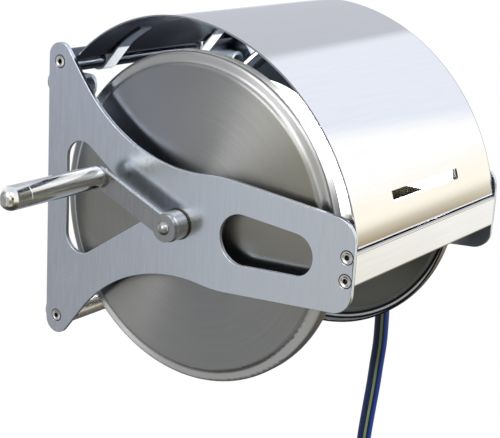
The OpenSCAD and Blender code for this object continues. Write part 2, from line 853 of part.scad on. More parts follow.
// Round hose swept along its route
module feed_hose() {
    n = len(hose_path);
    dirs = [for (i = [0 : n - 1])
        i == 0 ? port_dir : i == n - 1 ? hose_end_dir : unit(hose_path[i + 1] - hose_path[i - 1])];
    rings = [for (i = [0 : n - 1]) for (k = [0 : hose_sides - 1])
        let (a = 360 * k / hose_sides, q = hose_path[i] + hose_r * cos(a) * turn(dirs[i]))
        [hose_x + hose_r * sin(a), q[0], q[1]]];
    skin = [for (i = [0 : n - 2]) for (k = [0 : hose_sides - 1])
        let (a = i * hose_sides + k, b = i * hose_sides + (k + 1) % hose_sides)
        for (f = [[a, b, a + hose_sides], [b, b + hose_sides, a + hose_sides]]) f];
    last = (n - 1) * hose_sides;
    caps = [for (k = [1 : hose_sides - 2]) for (f = [[0, k + 1, k], [last, last + k, last + k + 1]]) f];
    color("royalblue") at_drum() polyhedron(points = rings, faces = concat(skin, caps));
}

// ---- Drum ----

// Half section of a filled disc, drawn in from its outer skin by inset
module disc_section(inset) {
    r = drum_r - inset;
    top = rim_x - inset;
    corner = edge_r - inset;
    middle = step_high_c + (step_r - inset) * unit(step_low_c - step_high_c);
    base = rim_x - skirt_w - (inset > 0 ? skirt_w : 0);
    difference() {
        union() {
            polygon([
                [0, base], [r, base], [r, top - corner], [r - corner, top], [step_low_c[0], top], middle,
                [step_high_c[0], face_x - inset], [0, face_x - inset]
            ]);
            translate([r - corner, top - corner]) circle(corner);
            translate(step_high_c) circle(step_r - inset);
        }
        translate(step_low_c) circle(step_r + inset);
    }
}

// Pressed disc: skirt, lip, step and flat face
module disc(side) {
    bore = side == left ? shaft_r : inlet_r;
    color("gray") at_drum() on_side(side) turned() difference() {
        disc_section(0);
        disc_section(disc_t);
        square([bore + fit, 3 * face_x]);
    }
}

// Rolled winding core with an opening for the outlet pipe
module drum_core() {
    half = face_x - disc_t;
    color("gainsboro") at_drum() difference() {
        rod(core_r, -half, half);
        rod(core_r - core_t, -2 * half, 2 * half);
        translate([outlet_x, 0, 0]) cylinder(r = outlet_r + outlet_gap, h = 2 * core_r);
    }
}

module crank_shaft() {
    inner = face_x - disc_t;
    color("silver") at_drum() on_side(left) difference() {
        union() {
            rod(shaft_r, inner - hub_t, arm_in);
            rod(hub_r, inner - hub_t, inner);
        }
        rod(shank_r + fit, arm_in - screw_reach - screw_spare, arm_out);
    }
}

// Hollow shaft: the water runs in along its bore and out into the outlet pipe
module inlet_shaft() {
    inner = face_x - disc_t;
    foot = outlet_x - outlet_r;
    color("silver") at_drum() difference() {
        union() {
            rod(inlet_r, foot - shaft_foot, plate_out + seat_l - play);
            rod(hub_r, inner - hub_t, inner);
        }
        rod(water_r, foot + shaft_foot, plate_out + 2 * seat_l);
        translate([outlet_x, 0, 0]) cylinder(r = outlet_r + fit, h = 2 * inlet_r);
    }
}

module hub_collar(side) {
    bore = side == left ? shaft_r : inlet_r;
    color("silver") at_drum() on_side(side) difference() {
        rod(bore + collar_t, face_x, ring_in - play);
        rod(bore + fit, 0, plate_out);
    }
}

// Round solid along the outlet pipe, from height z up, round the bend and out to distance y
module outlet_route(r, z, y) {
    rise = outlet_bend - bend_r;
    translate([0, 0, z]) cylinder(r = r, h = rise - z);
    translate([0, -bend_r, rise]) rotate([0, 90, 0]) rotate([0, 0, 90])
        rotate_extrude(angle = 90) translate([bend_r, 0]) circle(r);
    translate([0, -bend_r, outlet_bend]) rotate([90, 0, 0]) cylinder(r = r, h = y - bend_r);
}

// Pipe out of the hollow shaft: up through the core, then round along it
module outlet_pipe() {
    color("silver") at_drum() translate([outlet_x, 0, 0]) difference() {
        outlet_route(outlet_r, water_r, outlet_end);
        outlet_route(water_r, 0, 2 * outlet_end);
    }
}

// Barbed tail that the delivery hose is pushed onto
module outlet_tail() {
    stem = tail_l - barbs * barb_pitch;
    color("darkkhaki") at_drum() translate([outlet_x, -outlet_end, outlet_bend]) rotate([90, 0, 0])
        rotate_extrude() difference() {
            union() {
                square([outlet_r, stem / 2]);
                square([tail_r, tail_l]);
                for (k = [0 : barbs - 1]) translate([0, stem + k * barb_pitch])
                    polygon([[0, 0], [tail_r + barb_h, 0], [tail_r, barb_pitch], [0, barb_pitch]]);
            }
            square([tail_r - tail_wall, 3 * tail_l], center = true);
        }
}

// ---- Crank ----

// Draws what follows with +Y along the crank arm and the crank side at -X
module at_crank() {
    at_drum() rotate([crank_a, 0, 0]) children();
}

module crank_boss() {
    shoulder = arm_in - boss_chamfer;
    color("darkkhaki") at_drum() on_side(left) turned() difference() {
        polygon([
            [0, boss_in], [crank_boss_r, boss_in], [crank_boss_r, shoulder],
            [crank_boss_r - boss_chamfer, arm_in], [0, arm_in]
        ]);
        translate([0, boss_in - play]) square([shaft_r + fit, crank_boss_l + 2 * play]);
    }
}

module crank_arm() {
    color("darkkhaki") at_crank() on_side(left) difference() {
        along_x(arm_in, arm_out) {
            circle(eye_r);
            translate([crank_r, 0]) circle(arm_w / 2);
            translate([0, -arm_w / 2]) square([crank_r, arm_w]);
        }
        rod(shank_r + fit, arm_in - arm_t, arm_out + arm_t);
        translate([0, crank_r, 0]) rod(spindle_r + fit, arm_in - arm_t, arm_out + arm_t);
    }
}

// Domed screw that holds the arm on the shaft
module crank_screw() {
    rise = dome_h - dome_edge;
    ball_r = (dome_r * dome_r + rise * rise) / (2 * rise);
    color("silver") at_drum() on_side(left) {
        rod(shank_r, arm_in - screw_reach, arm_out);
        turned() intersection() {
            translate([0, arm_out + dome_h - ball_r]) circle(ball_r);
            translate([0, arm_out]) square([dome_r, dome_h]);
        }
    }
}

module at_handle() {
    at_crank() translate([0, crank_r, 0]) on_side(left) children();
}

module handle_spindle() {
    color("silver") at_handle() {
        rod(spindle_r, arm_in - spindle_nut_t - spindle_end, grip_out + play);
        rod(spindle_head_r, grip_out + play, grip_out + play + spindle_head_h);
    }
}

module spindle_nut() {
    color("silver") at_handle() difference() {
        translate([arm_in - spindle_nut_t, 0, 0]) rotate([0, 90, 0])
            cylinder(r = spindle_nut_r, h = spindle_nut_t, $fn = 6);
        rod(spindle_r + fit, arm_in - 2 * spindle_nut_t, arm_out);
    }
}

module handle_washer() {
    color("silver") at_handle() difference() {
        rod(washer_r, arm_out, arm_out + washer_t);
        rod(spindle_r + fit, arm_in, arm_out + arm_t);
    }
}

// Turning sleeve with a narrow neck at the arm
module handle_grip() {
    body_l = grip_l - grip_neck_l;
    color("darkkhaki") at_handle() turned() difference() {
        union() {
            translate([0, grip_in]) square([grip_r - grip_neck_h, grip_l]);
            translate([0, grip_in + grip_neck_l]) {
                round_box([0, 0], [grip_r, body_l], grip_round);
                square([grip_r / 2, body_l]);
            }
        }
        translate([0, grip_in - play]) square([spindle_r + run_gap, grip_l + 2 * play]);
    }
}

// Domed cap that closes the sleeve over the spindle's head
module handle_cap() {
    color("darkkhaki") at_handle() turned() difference() {
        union() {
            translate([0, grip_out]) square([grip_r, cap_l - cap_round]);
            translate([0, grip_out]) square([grip_r - cap_round, cap_l]);
            translate([grip_r - cap_round, grip_out + cap_l - cap_round]) circle(cap_round);
        }
        translate([0, grip_out - play]) square([spindle_head_r + play, spindle_head_h + 3 * play]);
        translate([-grip_r, 0]) square([grip_r, 2 * grip_out]);
    }
}

// ---- Hood ----

// Section of the hood sheet: two tangent arcs, cut level at the front, and the folded hem
module hood_section() {
    front_y = nose_y + hood_t;
    past_a = (hood_front_a - hood_join) / 10;
    translate(hood_rear_c) ring_sector(hood_rear_r, hood_rear_r - hood_t, hood_rear_a, hood_join);
    intersection() {
        translate(hood_front_c) 
            ring_sector(hood_front_r, hood_front_r - hood_t, hood_join, hood_front_a + past_a);
        translate([-2 * hood_front_r, hood_sill]) square(3 * hood_front_r);
    }
    translate([front_y, hood_sill]) square([hem_w, hood_t]);
}

module hood_shell() {
    color("whitesmoke") at_drum() {
        difference() {
            along_x(-hood_half, hood_half) hood_section();
            along_x(-grip_slot_w / 2, grip_slot_w / 2) translate(hood_front_c)
                ring_sector(hood_front_r + hood_t, hood_front_r - 2 * hood_t, slot_high_a, slot_low_a);
        }
        along_x(-grip_slot_w / 2, grip_slot_w / 2) translate(hood_front_c) rotate(slot_low_a)
            translate([hood_front_r - grip_lip, 0]) square([grip_lip - hood_t / 2, hood_t]);
    }
}

// Strap rolled round the upper tube, straight up to the hood and spread on its inner face
module hinge_strap(side) {
    run = tangent(strap_end, 0, tube_upper, strap_in + strap_t / 2);
    half = strap_t / 2 * turn(unit(run[1] - run[0]));
    x0 = side * strap_x - strap_w / 2;
    color("silver") at_drum() along_x(x0, x0 + strap_w) {
        translate(tube_upper) difference() {
            circle(strap_out);
            circle(strap_in);
        }
        difference() {
            polygon([run[0] + half, run[0] - half, run[1] - half, run[1] + half]);
            translate(tube_upper) circle(strap_in);
        }
        translate(hood_rear_c) ring_sector(pad_out, pad_out - strap_t, strap_a, strap_a + strap_pad_a);
        translate(strap_end) circle(strap_t / 2);
    }
}

side_plate(left);  // side_plate_left
side_plate(right);  // side_plate_right
upper_tube();
lower_tube();
tube_plugs();
tube_screws();
wall_boss_upper(left);  // wall_boss_upper_left
wall_boss_upper(right);  // wall_boss_upper_right
wall_boss_lower(left);  // wall_boss_lower_left
wall_boss_lower(right);  // wall_boss_lower_right
front_panel();
panel_screws();
panel_nut_bars();
hood_buffers();
bearing_ring(left);  // bearing_ring_left
bearing_ring(right);  // bearing_ring_right
bearing_bush_left();
bearing_bush_right();
inlet_housing();
housing_screws();
inlet_seals();
inlet_nut();
inlet_ferrule();
feed_hose();
end_ferrule();
end_nut();
disc(left);  // disc_left
disc(right);  // disc_right
drum_core();
crank_shaft();
inlet_shaft();
hub_collar(left);  // hub_collar_left
hub_collar(right);  // hub_collar_right
outlet_pipe();
outlet_tail();
crank_boss();
crank_arm();
crank_screw();
handle_spindle();
spindle_nut();
handle_washer();
handle_grip();
handle_cap();
hood_shell();
hinge_strap(left);  // hinge_strap_left
hinge_strap(right);  // hinge_strap_right
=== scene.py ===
# %% [markdown]
# A wall-mounted hose reel of stainless steel sheet: a drum turns on an axle between two side
# plates, a hood swings over it on a tube, and a rubber hose brings the water in from below. The
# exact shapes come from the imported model. They could be modelled again here, but then they would
# no longer be the parts that move, so this script gives them their finishes and makes only the
# soft feed hose anew. The reel hangs as on its wall: +Z is up, -Y points into the room, and the
# crank is at -X. Lengths are in metres.

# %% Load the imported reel
import json
from math import cos, pi, radians, sin, tau

import bpy
from mathutils import Matrix, Vector


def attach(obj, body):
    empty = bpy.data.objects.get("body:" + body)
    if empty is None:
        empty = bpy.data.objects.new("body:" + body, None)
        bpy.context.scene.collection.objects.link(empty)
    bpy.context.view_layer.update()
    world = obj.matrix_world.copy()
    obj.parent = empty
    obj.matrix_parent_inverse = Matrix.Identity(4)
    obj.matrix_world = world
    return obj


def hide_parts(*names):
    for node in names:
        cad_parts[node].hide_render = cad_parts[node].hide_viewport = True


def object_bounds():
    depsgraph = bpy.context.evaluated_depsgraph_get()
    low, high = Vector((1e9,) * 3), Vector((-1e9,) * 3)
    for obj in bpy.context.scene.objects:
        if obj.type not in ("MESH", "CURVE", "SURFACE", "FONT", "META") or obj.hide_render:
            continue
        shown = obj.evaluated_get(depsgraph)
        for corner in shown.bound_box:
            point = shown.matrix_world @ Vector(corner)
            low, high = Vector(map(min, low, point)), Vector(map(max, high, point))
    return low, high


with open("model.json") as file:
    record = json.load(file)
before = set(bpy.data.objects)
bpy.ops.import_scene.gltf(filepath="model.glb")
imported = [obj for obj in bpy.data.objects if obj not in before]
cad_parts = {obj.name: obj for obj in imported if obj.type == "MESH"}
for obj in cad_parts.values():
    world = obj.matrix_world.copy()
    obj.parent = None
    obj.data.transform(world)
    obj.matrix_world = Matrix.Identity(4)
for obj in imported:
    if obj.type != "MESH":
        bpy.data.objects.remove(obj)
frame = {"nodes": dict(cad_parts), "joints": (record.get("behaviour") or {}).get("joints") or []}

scene = bpy.context.scene
nodes = frame["nodes"]
cad_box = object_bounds()
joints = {joint["name"]: Vector(joint["pos_m"]) for joint in frame["joints"]}
axle, hood_hinge = joints["drum_spin"], joints["hood_hinge"]

# %% [markdown]
# The camera stands to the left of the reel, a little above its axle and about 1.5 m away, and
# looks along the drum at the hood. It could be placed with three angles round fixed axes. Here
# its three directions are worked out from a heading, a downward pitch and a slight roll instead,
# because each of these changes the view in one way only. A long lens keeps the two discs nearly
# the same size.

# %% Camera
CAMERA_AT = Vector((-1.16470, -0.99260, 0.39278))
HEADING, PITCH, ROLL = 0.6095985, 0.2808940, 0.0587298
LENS_MM, SENSOR_MM = 91.426, 36.0

forward = Vector((cos(HEADING) * cos(PITCH), sin(HEADING) * cos(PITCH), -sin(PITCH)))
level_right = Vector((sin(HEADING), -cos(HEADING), 0))
level_up = level_right.cross(forward)
right = level_right * cos(ROLL) + level_up * sin(ROLL)
up = level_up * cos(ROLL) - level_right * sin(ROLL)

lens = bpy.data.cameras.new("camera")
lens.lens, lens.sensor_width, lens.sensor_fit = LENS_MM, SENSOR_MM, "HORIZONTAL"
camera = bpy.data.objects.new("camera", lens)
scene.collection.objects.link(camera)
turned = Matrix((right, up, -forward)).transposed().to_4x4()
camera.matrix_world = Matrix.Translation(CAMERA_AT) @ turned
scene.camera = camera
print("camera at", [round(v, 3) for v in CAMERA_AT], "lens", LENS_MM, "mm")

# %% [markdown]
# The feed hose is 18 mm rubber hose. It leaves the ferrule under the inlet, turns down in a
# gentle bow and hangs to its union nut. Its middle line could be a bezier curve, whose handles
# are hard to set by numbers. Here it is one smooth curve through a row of points, so that every
# point is a place that the hose really passes.

# %% Feed hose: middle line
HOSE_R = 0.009
HOSE_X = 0.178
PORT_TILT = pi / 6
PORT_END = 0.068
STEPS_PER_BEND = 6
# From the axle towards the wall and up, in millimetres
BENDS_MM = [
    (-41, -71), (-49, -86), (-56, -102), (-62, -120), (-67, -140), (-70, -162), (-71, -186),
    (-71, -212), (-69, -240), (-67, -270), (-64, -302), (-61, -336), (-59, -370), (-57, -404),
    (-56, -438),
]
route = [(-PORT_END * sin(PORT_TILT), -PORT_END * cos(PORT_TILT))]
route += [(y / 1000, z / 1000) for y, z in BENDS_MM]
knots = [Vector((HOSE_X, axle.y + y, axle.z + z)) for y, z in route]


def smooth_line(knots, steps):
    """Points on one smooth curve that passes through the knots."""
    ends = [2 * knots[0] - knots[1], *knots, 2 * knots[-1] - knots[-2]]
    line = []
    for a, b, c, d in zip(ends, ends[1:], ends[2:], ends[3:]):
        for i in range(steps):
            t = i / steps
            line.append((2 * b + (c - a) * t + (2 * a - 5 * b + 4 * c - d) * t ** 2
                         + (3 * b - a - 3 * c + d) * t ** 3) / 2)
    return line + [knots[-1]]


hose_line = smooth_line(knots, STEPS_PER_BEND)

# %% [markdown]
# The hose's skin is a plain round tube, and a curve with a bevel would draw it too. But its
# stripe has to stay on one side all the way down, and a bevel turns as it likes. So rings of
# points are laid along the line, each starting at +X, and neighbouring rings are joined with
# faces.

# %% Feed hose: skin
HOSE_SIDES = 40


def new_piece(name, points, faces, smooth=True):
    """A mesh object made of points and faces, in place in the reel's frame."""
    mesh = bpy.data.meshes.new(name)
    mesh.from_pydata([tuple(p) for p in points], [], faces)
    mesh.validate()
    mesh.polygons.foreach_set("use_smooth", [smooth] * len(mesh.polygons))
    piece = bpy.data.objects.new(name, mesh)
    scene.collection.objects.link(piece)
    return piece


def tube_round(name, line, radius, sides):
    """A tube round the line, closed at both ends, whose rings all start at +X."""
    sideways, last = Vector((1, 0, 0)), len(line) - 1
    points, faces = [], []
    for i, at in enumerate(line):
        along = (line[min(i + 1, last)] - line[max(i - 1, 0)]).normalized()
        front = sideways.cross(along).normalized()
        turns = [tau * s / sides for s in range(sides)]
        points += [at + radius * (cos(a) * sideways + sin(a) * front) for a in turns]
    for i in range(last):
        for s in range(sides):
            t = (s + 1) % sides
            faces.append((i * sides + s, (i + 1) * sides + s, (i + 1) * sides + t, i * sides + t))
    faces.append(tuple(range(sides)))
    faces.append(tuple(reversed([last * sides + s for s in range(sides)])))
    return new_piece(name, points, faces)


feed_hose = tube_round("feed_hose_skin", hose_line, HOSE_R, HOSE_SIDES)
print("feed hose skin:", len(feed_hose.data.polygons), "faces")

# %% [markdown]
# Stripe and braid need to know where on the hose they are: how far round, and how far along. That
# could be worked out in the material from the hose's place in the room, but the hose bends. A map
# stored with the mesh follows every bend. Its first number goes once round and its second from
# one end to the other. The last side of each ring closes the circle, so there the way round has
# to read 1, not 0.

# %% Feed hose: map of the way round and along
def map_tube(tube, sides, rings):
    """Stores the way round and the way along with each corner of the tube's faces."""
    wrap = tube.data.uv_layers.new(name="hose_wrap")
    for face in tube.data.polygons:
        corners = [(k, tube.data.loops[k].vertex_index) for k in face.loop_indices]
        turns = [point % sides for _, point in corners]
        closes = max(turns) - min(turns) > sides / 2
        for (k, point), turn in zip(corners, turns):
            past = sides if closes and turn == 0 else 0
            wrap.data[k].uv = ((turn + past) / sides, point // sides / (rings - 1))


map_tube(feed_hose, HOSE_SIDES, len(hose_line))
print("hose map:", len(feed_hose.data.uv_layers["hose_wrap"].data), "corners")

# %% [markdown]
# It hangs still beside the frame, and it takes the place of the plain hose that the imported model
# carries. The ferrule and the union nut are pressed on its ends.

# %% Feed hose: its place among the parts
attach(feed_hose, "frame")
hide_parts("feed_hose")
print("feed hose rides on the frame from", [round(v, 3) for v in knots[0]])

# %% [markdown]
# Finishes are made of nodes, small calculations that run for every point of a surface. Placing
# each one by hand in the node editor works too, but a script can repeat it exactly. These helpers
# put a node in a tree and fill its inputs, either with a plain value or with the result of
# another node, so that a finish can be written down like a sum.

# %% Helpers: nodes and their inputs
NODE_GAP = 180


def plug(tree, socket, value):
    """Links the socket to another node's result, or sets it to a plain value."""
    if isinstance(value, bpy.types.NodeSocket):
        tree.links.new(value, socket)
    else:
        socket.default_value = value


def fill(tree, node, **inputs):
    """Fills the node's inputs by name, with _ for a space."""
    for name, value in inputs.items():
        plug(tree, node.inputs[name.replace("_", " ")], value)
    return node


def put(tree, kind, *values, **inputs):
    """A new node of this kind, with its first inputs filled in order and others by name."""
    node = tree.nodes.new("ShaderNode" + kind)
    node.location.x = NODE_GAP * len(tree.nodes)
    for i, value in enumerate(values):
        plug(tree, node.inputs[i], value)
    return fill(tree, node, **inputs)


print("helpers: plug, fill, put")

# %% [markdown]
# A finish is worked out spot by spot, with sums that the shader does with numbers and with
# directions. Each sum is a node of its own, and a long formula would take a long list of them.
# Two helpers write such a node as one call that hands back its result, so that calls can be
# nested like a formula.

# %% Helpers: sums
def calc(tree, what, a, b=0.0, c=0.0, clamp=False):
    """The result of one calculation with numbers."""
    node = put(tree, "Math", a, b, c)
    node.operation, node.use_clamp = what, clamp
    return node.outputs[0]


def vector(tree, what, a, b=(0, 0, 0)):
    """The result of one calculation with directions or places."""
    node = put(tree, "VectorMath", a, b)
    node.operation = what
    return node.outputs["Value" if what in ("LENGTH", "DOT_PRODUCT") else "Vector"]


print("helpers: calc, vector")

# %% [markdown]
# Most of what tells one spot of a finish from another is a mask, a number from 0 to 1. Comparing
# a value with a limit gives a mask too, but with a jagged edge. A soft step from 0 to 1 gives a
# clean one. Masks are joined by multiplying, where both have to hold, or by taking the larger,
# where either will do.

# %% Helpers: masks
def between(tree, value, low, high, to_low=0.0, to_high=1.0, kind="SMOOTHSTEP"):
    """The value moved from the range low..high to the range to_low..to_high, and kept there."""
    node = put(tree, "MapRange", value, low, high, to_low, to_high)
    node.interpolation_type = kind
    return node.outputs[0]


def step(tree, value, off, on):
    """A mask: 0 where the value is `off`, 1 where it is `on`, and the same beyond them."""
    if off > on:
        return between(tree, value, on, off, 1.0, 0.0)
    return between(tree, value, off, on)


def both(tree, a, b):
    """The mask of what lies in both."""
    return calc(tree, "MULTIPLY", a, b)


def either(tree, a, b):
    """The mask of what lies in one of the two or in both."""
    return calc(tree, "MAXIMUM", a, b)


def size_of(tree, value):
    """The value without its sign."""
    return calc(tree, "ABSOLUTE", value)


print("helpers: between, step, both, either, size_of")

# %% [markdown]
# Colours are laid over each other through masks, as with stencils, the last on top. They could
# all be mixed in one large sum, but a row of coats reads like the work on the real part: ground,
# polished, then filmed. Relief is only a little bending of the light by height: so shallow a
# grain would need millions of faces as a mesh.

# %% Helpers: colours and relief
def blend(tree, amount, a, b):
    """Colour a where the amount is 0, colour b where it is 1."""
    node = put(tree, "Mix")
    node.data_type = "RGBA"
    for name, value in (("Factor", amount), ("A", a), ("B", b)):
        ready = isinstance(value, bpy.types.NodeSocket)
        plug(tree, node.inputs[name], value if ready else (*value, 1))
    return node.outputs["Result"]


def layers(tree, colour, coats):
    """The colour with each coat laid over it in turn: pairs of a mask and the coat's colour."""
    for mask, coat in coats:
        colour = blend(tree, mask, colour, coat)
    return colour


def relief(tree, height, depth_mm):
    """A normal for relief of this depth."""
    return put(tree, "Bump", Height=height, Distance=depth_mm / 1000).outputs["Normal"]


print("helpers: blend, layers, relief")

# %% [markdown]
# Some effects belong to several finishes: the grain of worked steel, the marks that hands leave,
# and knowing which way a surface looks. Their nodes could be copied into every material, but then
# a change would have to be made in each. A node group is built once and placed in each material
# with its own values. It has named inputs and outputs, like a tool with dials.

# %% Helpers: node groups
def new_group(name, inputs, outputs):
    """An empty node group: (its tree, what it is given, what it puts out)."""
    tree = bpy.data.node_groups.new(name, "ShaderNodeTree")
    for label, kind, value in inputs:
        socket = tree.interface.new_socket(label, in_out="INPUT", socket_type="NodeSocket" + kind)
        if value is not None:
            socket.default_value = value
    for label, kind in outputs:
        tree.interface.new_socket(label, in_out="OUTPUT", socket_type="NodeSocket" + kind)
    given, result = tree.nodes.new("NodeGroupInput"), tree.nodes.new("NodeGroupOutput")
    return tree, given.outputs, result


def use_group(tree, group, **inputs):
    """The group placed in a material with its own values: what it puts out, by name."""
    node = put(tree, "Group")
    node.node_tree = group
    return fill(tree, node, **inputs).outputs


print("helpers: new_group, use_group")

# %% [markdown]
# Sheet that went over a belt or a brush has fine lines in one direction. They could be drawn one
# by one, but they are far too many. Noise that is squeezed hard across the lines and hardly along
# them turns into just such lines, and never repeats. The same noise without the squeeze gives
# soft clouds, for steel that isn't equally bright all over.

# %% Effect: straight grain
def make_grain():
    """Fine lines: noise squeezed by Squeeze, whose large numbers lie across the lines."""
    tree, given, result = new_group(
        "brush_grain",
        [("Place", "Vector", None), ("Squeeze", "Vector", (40, 900, 900))],
        [("Grain", "Float"), ("Cloud", "Float")])
    squeezed = vector(tree, "MULTIPLY", given["Place"], given["Squeeze"])
    fine = put(tree, "TexNoise", Vector=squeezed, Scale=1.0, Detail=3.0, Roughness=0.6)
    cloud = put(tree, "TexNoise", Vector=given["Place"], Scale=9.0, Detail=3.0, Roughness=0.5)
    fill(tree, result, Grain=fine.outputs["Fac"], Cloud=cloud.outputs["Fac"])
    return tree


brush_grain = make_grain()
print("brush_grain:", len(brush_grain.nodes), "nodes")

# %% [markdown]
# The discs turned while they were polished, so their lines are circles round the axle. Straight
# grain bent into circles by hand would show a seam. Noise that changes fast with the radius and
# slowly with the turn has none: the turn goes in as its sine and cosine, which meet again after a
# full circle.

# %% Effect: grain in circles
def make_ring_grain():
    """Grain in circles round the axle, and the distance from it."""
    tree, given, result = new_group(
        "ring_grain",
        [("Place", "Vector", None), ("Middle", "Vector", (0, 0, 0)), ("Lines", "Float", 900.0)],
        [("Grain", "Float"), ("Radius", "Float")])
    spot = put(tree, "SeparateXYZ", vector(tree, "SUBTRACT", given["Place"], given["Middle"]))
    y, z = spot.outputs["Y"], spot.outputs["Z"]
    square = calc(tree, "ADD", calc(tree, "MULTIPLY", y, y), calc(tree, "MULTIPLY", z, z))
    radius = calc(tree, "SQRT", square)
    turn = calc(tree, "ARCTAN2", z, y)
    rings = put(tree, "CombineXYZ", calc(tree, "MULTIPLY", radius, given["Lines"]),
                calc(tree, "SINE", turn), calc(tree, "COSINE", turn))
    fine = put(tree, "TexNoise", Vector=rings.outputs[0], Scale=1.0, Detail=4.0, Roughness=0.65)
    fill(tree, result, Grain=fine.outputs["Fac"], Radius=radius)
    return tree


ring_grain = make_ring_grain()
print("ring_grain:", len(ring_grain.nodes), "nodes")

# %% [markdown]
# Hands and water leave polished steel a little duller in blotches, with a few thin scratches
# inside them. They could be placed by hand, but there are many, and no two parts have the same.
# So they come from noise. The blotches are its high parts. The scratches are the borders of
# irregular cells, bent a little and kept only where a blotch is strongest, since scratches gather
# where the reel is touched.

# %% Effect: handling marks
SCRATCH_WIDTH = 0.006
BLOTCHED, TOUCHED = (0.48, 0.72), (0.58, 0.66)


def make_marks():
    """Where hands and water have dulled the surface, and a few thin scratches there."""
    tree, given, result = new_group(
        "handling_marks",
        [("Place", "Vector", None), ("Amount", "Float", 0.5)],
        [("Dulling", "Float"), ("Scratch", "Float")])
    blotch = put(tree, "TexNoise", Vector=given["Place"], Scale=14.0, Detail=5.0, Roughness=0.55,
                 Distortion=0.6).outputs["Fac"]
    bent = put(tree, "TexNoise", Vector=given["Place"], Scale=6.0).outputs["Color"]
    cells = put(tree, "TexVoronoi", Vector=vector(tree, "ADD", given["Place"], bent), Scale=22.0)
    cells.feature = "DISTANCE_TO_EDGE"
    line = step(tree, cells.outputs["Distance"], SCRATCH_WIDTH, 0.0)
    scratched = both(tree, line, step(tree, blotch, *TOUCHED))
    fill(tree, result, Dulling=both(tree, step(tree, blotch, *BLOTCHED), given["Amount"]),
         Scratch=both(tree, scratched, given["Amount"]))
    return tree


handling_marks = make_marks()
print("handling_marks:", len(handling_marks.nodes), "nodes")

# %% [markdown]
# Bent sheet has two faces that look different: the outside is polished, and the inside is
# painted dark, a painted shade for the dim inside of the reel. Two materials on one shell would
# need its faces picked by hand. A group can tell the sides apart instead. It multiplies each
# spot's way from the axle with the direction that the surface looks in: the result is above 0
# where the surface looks away from the axle.

# %% Effect: which way a surface looks
def make_facing():
    """A spot's place from the axle, and how far it looks away from it: across X, and along X."""
    tree, given, result = new_group(
        "facing",
        [("Place", "Vector", None), ("Direction", "Vector", None),
         ("Middle", "Vector", (0, 0, 0))],
        [(name, "Float") for name in ("X", "Y", "Z", "Outward", "Along")])
    arm = vector(tree, "SUBTRACT", given["Place"], given["Middle"])
    spot = put(tree, "SeparateXYZ", arm).outputs
    way = put(tree, "SeparateXYZ", given["Direction"]).outputs
    out_y = calc(tree, "MULTIPLY", spot["Y"], way["Y"])
    fill(tree, result, X=spot["X"], Y=spot["Y"], Z=spot["Z"],
         Outward=calc(tree, "MULTIPLY_ADD", spot["Z"], way["Z"], out_y),
         Along=calc(tree, "MULTIPLY", spot["X"], way["X"]))
    return tree


facing = make_facing()
print("facing:", len(facing.nodes), "nodes")
print("groups:", [group.name for group in bpy.data.node_groups])

# %% [markdown]
# Every finish starts the same way: one material with one Principled shader, and the coordinates
# of its surface. The object's own coordinates are used, not those of the room, so that grain and
# marks turn with the drum and swing with the hood. Worked steel always has the same base too,
# lines with marks on them, and only the direction of the lines and the amount of the marks
# change.

# %% Finishes: a common start
GRAIN_RANGE, CLOUD_RANGE = (0.25, 0.75), (0.3, 0.7)


def new_finish(name):
    """A new material: (material, its tree, its shader, the coordinates on its surface)."""
    material = bpy.data.materials.new(name)
    material.use_nodes = True
    tree = material.node_tree
    return material, tree, tree.nodes["Principled BSDF"], put(tree, "TexCoord").outputs


def worked(tree, place, squeeze, marks):
    """Worked steel: (its lines, its clouds, where it is dulled, the height of its relief)."""
    grain = use_group(tree, brush_grain, Place=place, Squeeze=squeeze)
    worn = use_group(tree, handling_marks, Place=place, Amount=marks)
    lines = between(tree, grain["Grain"], *GRAIN_RANGE)
    height = calc(tree, "SUBTRACT", grain["Grain"], worn["Scratch"])
    return lines, grain["Cloud"], worn["Dulling"], height


def rough_by(tree, base, *amounts):
    """The roughness base plus each (mask, how much it adds)."""
    for mask, more in amounts:
        base = calc(tree, "MULTIPLY_ADD", mask, more, base)
    return base


def look(tree, coords):
    """Which way the surface looks, seen from the axle."""
    return use_group(tree, facing, Place=coords["Object"], Direction=coords["Normal"], Middle=axle)


print("helpers: new_finish, worked, rough_by, look")

# %% [markdown]
# Worked steel is a little lighter on some lines than on others, and cloudy besides. Where it was
# touched it is duller. One colour and one roughness would do from afar, but not near by, so a
# function makes the whole surface from a low and a high colour, the direction of the lines and a
# few amounts. Squeeze is how often the noise changes in a metre along X, Y and Z: its small
# numbers lie along the lines.

# %% Finish: worked steel
LINES_SHARE, CLOUD_SHARE = 0.6, 0.4


def steel(name, low, high, rough, squeeze, relief_mm, marks=0.5, spread=0.1, metal=1.0):
    """Steel between a low and a high colour, with grain, clouds and marks."""
    material, tree, shader, coords = new_finish(name)
    lines, cloud, dulling, height = worked(tree, coords["Object"], squeeze, marks)
    shade = calc(tree, "MULTIPLY", between(tree, cloud, *CLOUD_RANGE), CLOUD_SHARE)
    mixed = calc(tree, "MULTIPLY_ADD", lines, LINES_SHARE, shade)
    fill(tree, shader, Metallic=metal, Base_Color=blend(tree, mixed, low, high),
         Roughness=rough_by(tree, rough, (lines, spread), (dulling, spread)),
         Normal=relief(tree, height, relief_mm))
    return material


print("helper: steel")

# %% [markdown]
# Most parts are plain stainless steel and differ only in how they were worked. The tubes, the
# wall bosses and the grip were turned on a lathe, so their lines run round them. Bars and washers
# were brushed along their length. The drum's core and the pipe in it are as they came from the
# mill, white and matt, and the upper tube still has its dark film. Each could have nodes of its
# own, but a table keeps them of one family.

# %% Finish: plain steels
TURNED, BRUSHED_X, BRUSHED_Z = (700, 30, 30), (25, 500, 500), (40, 500, 30)
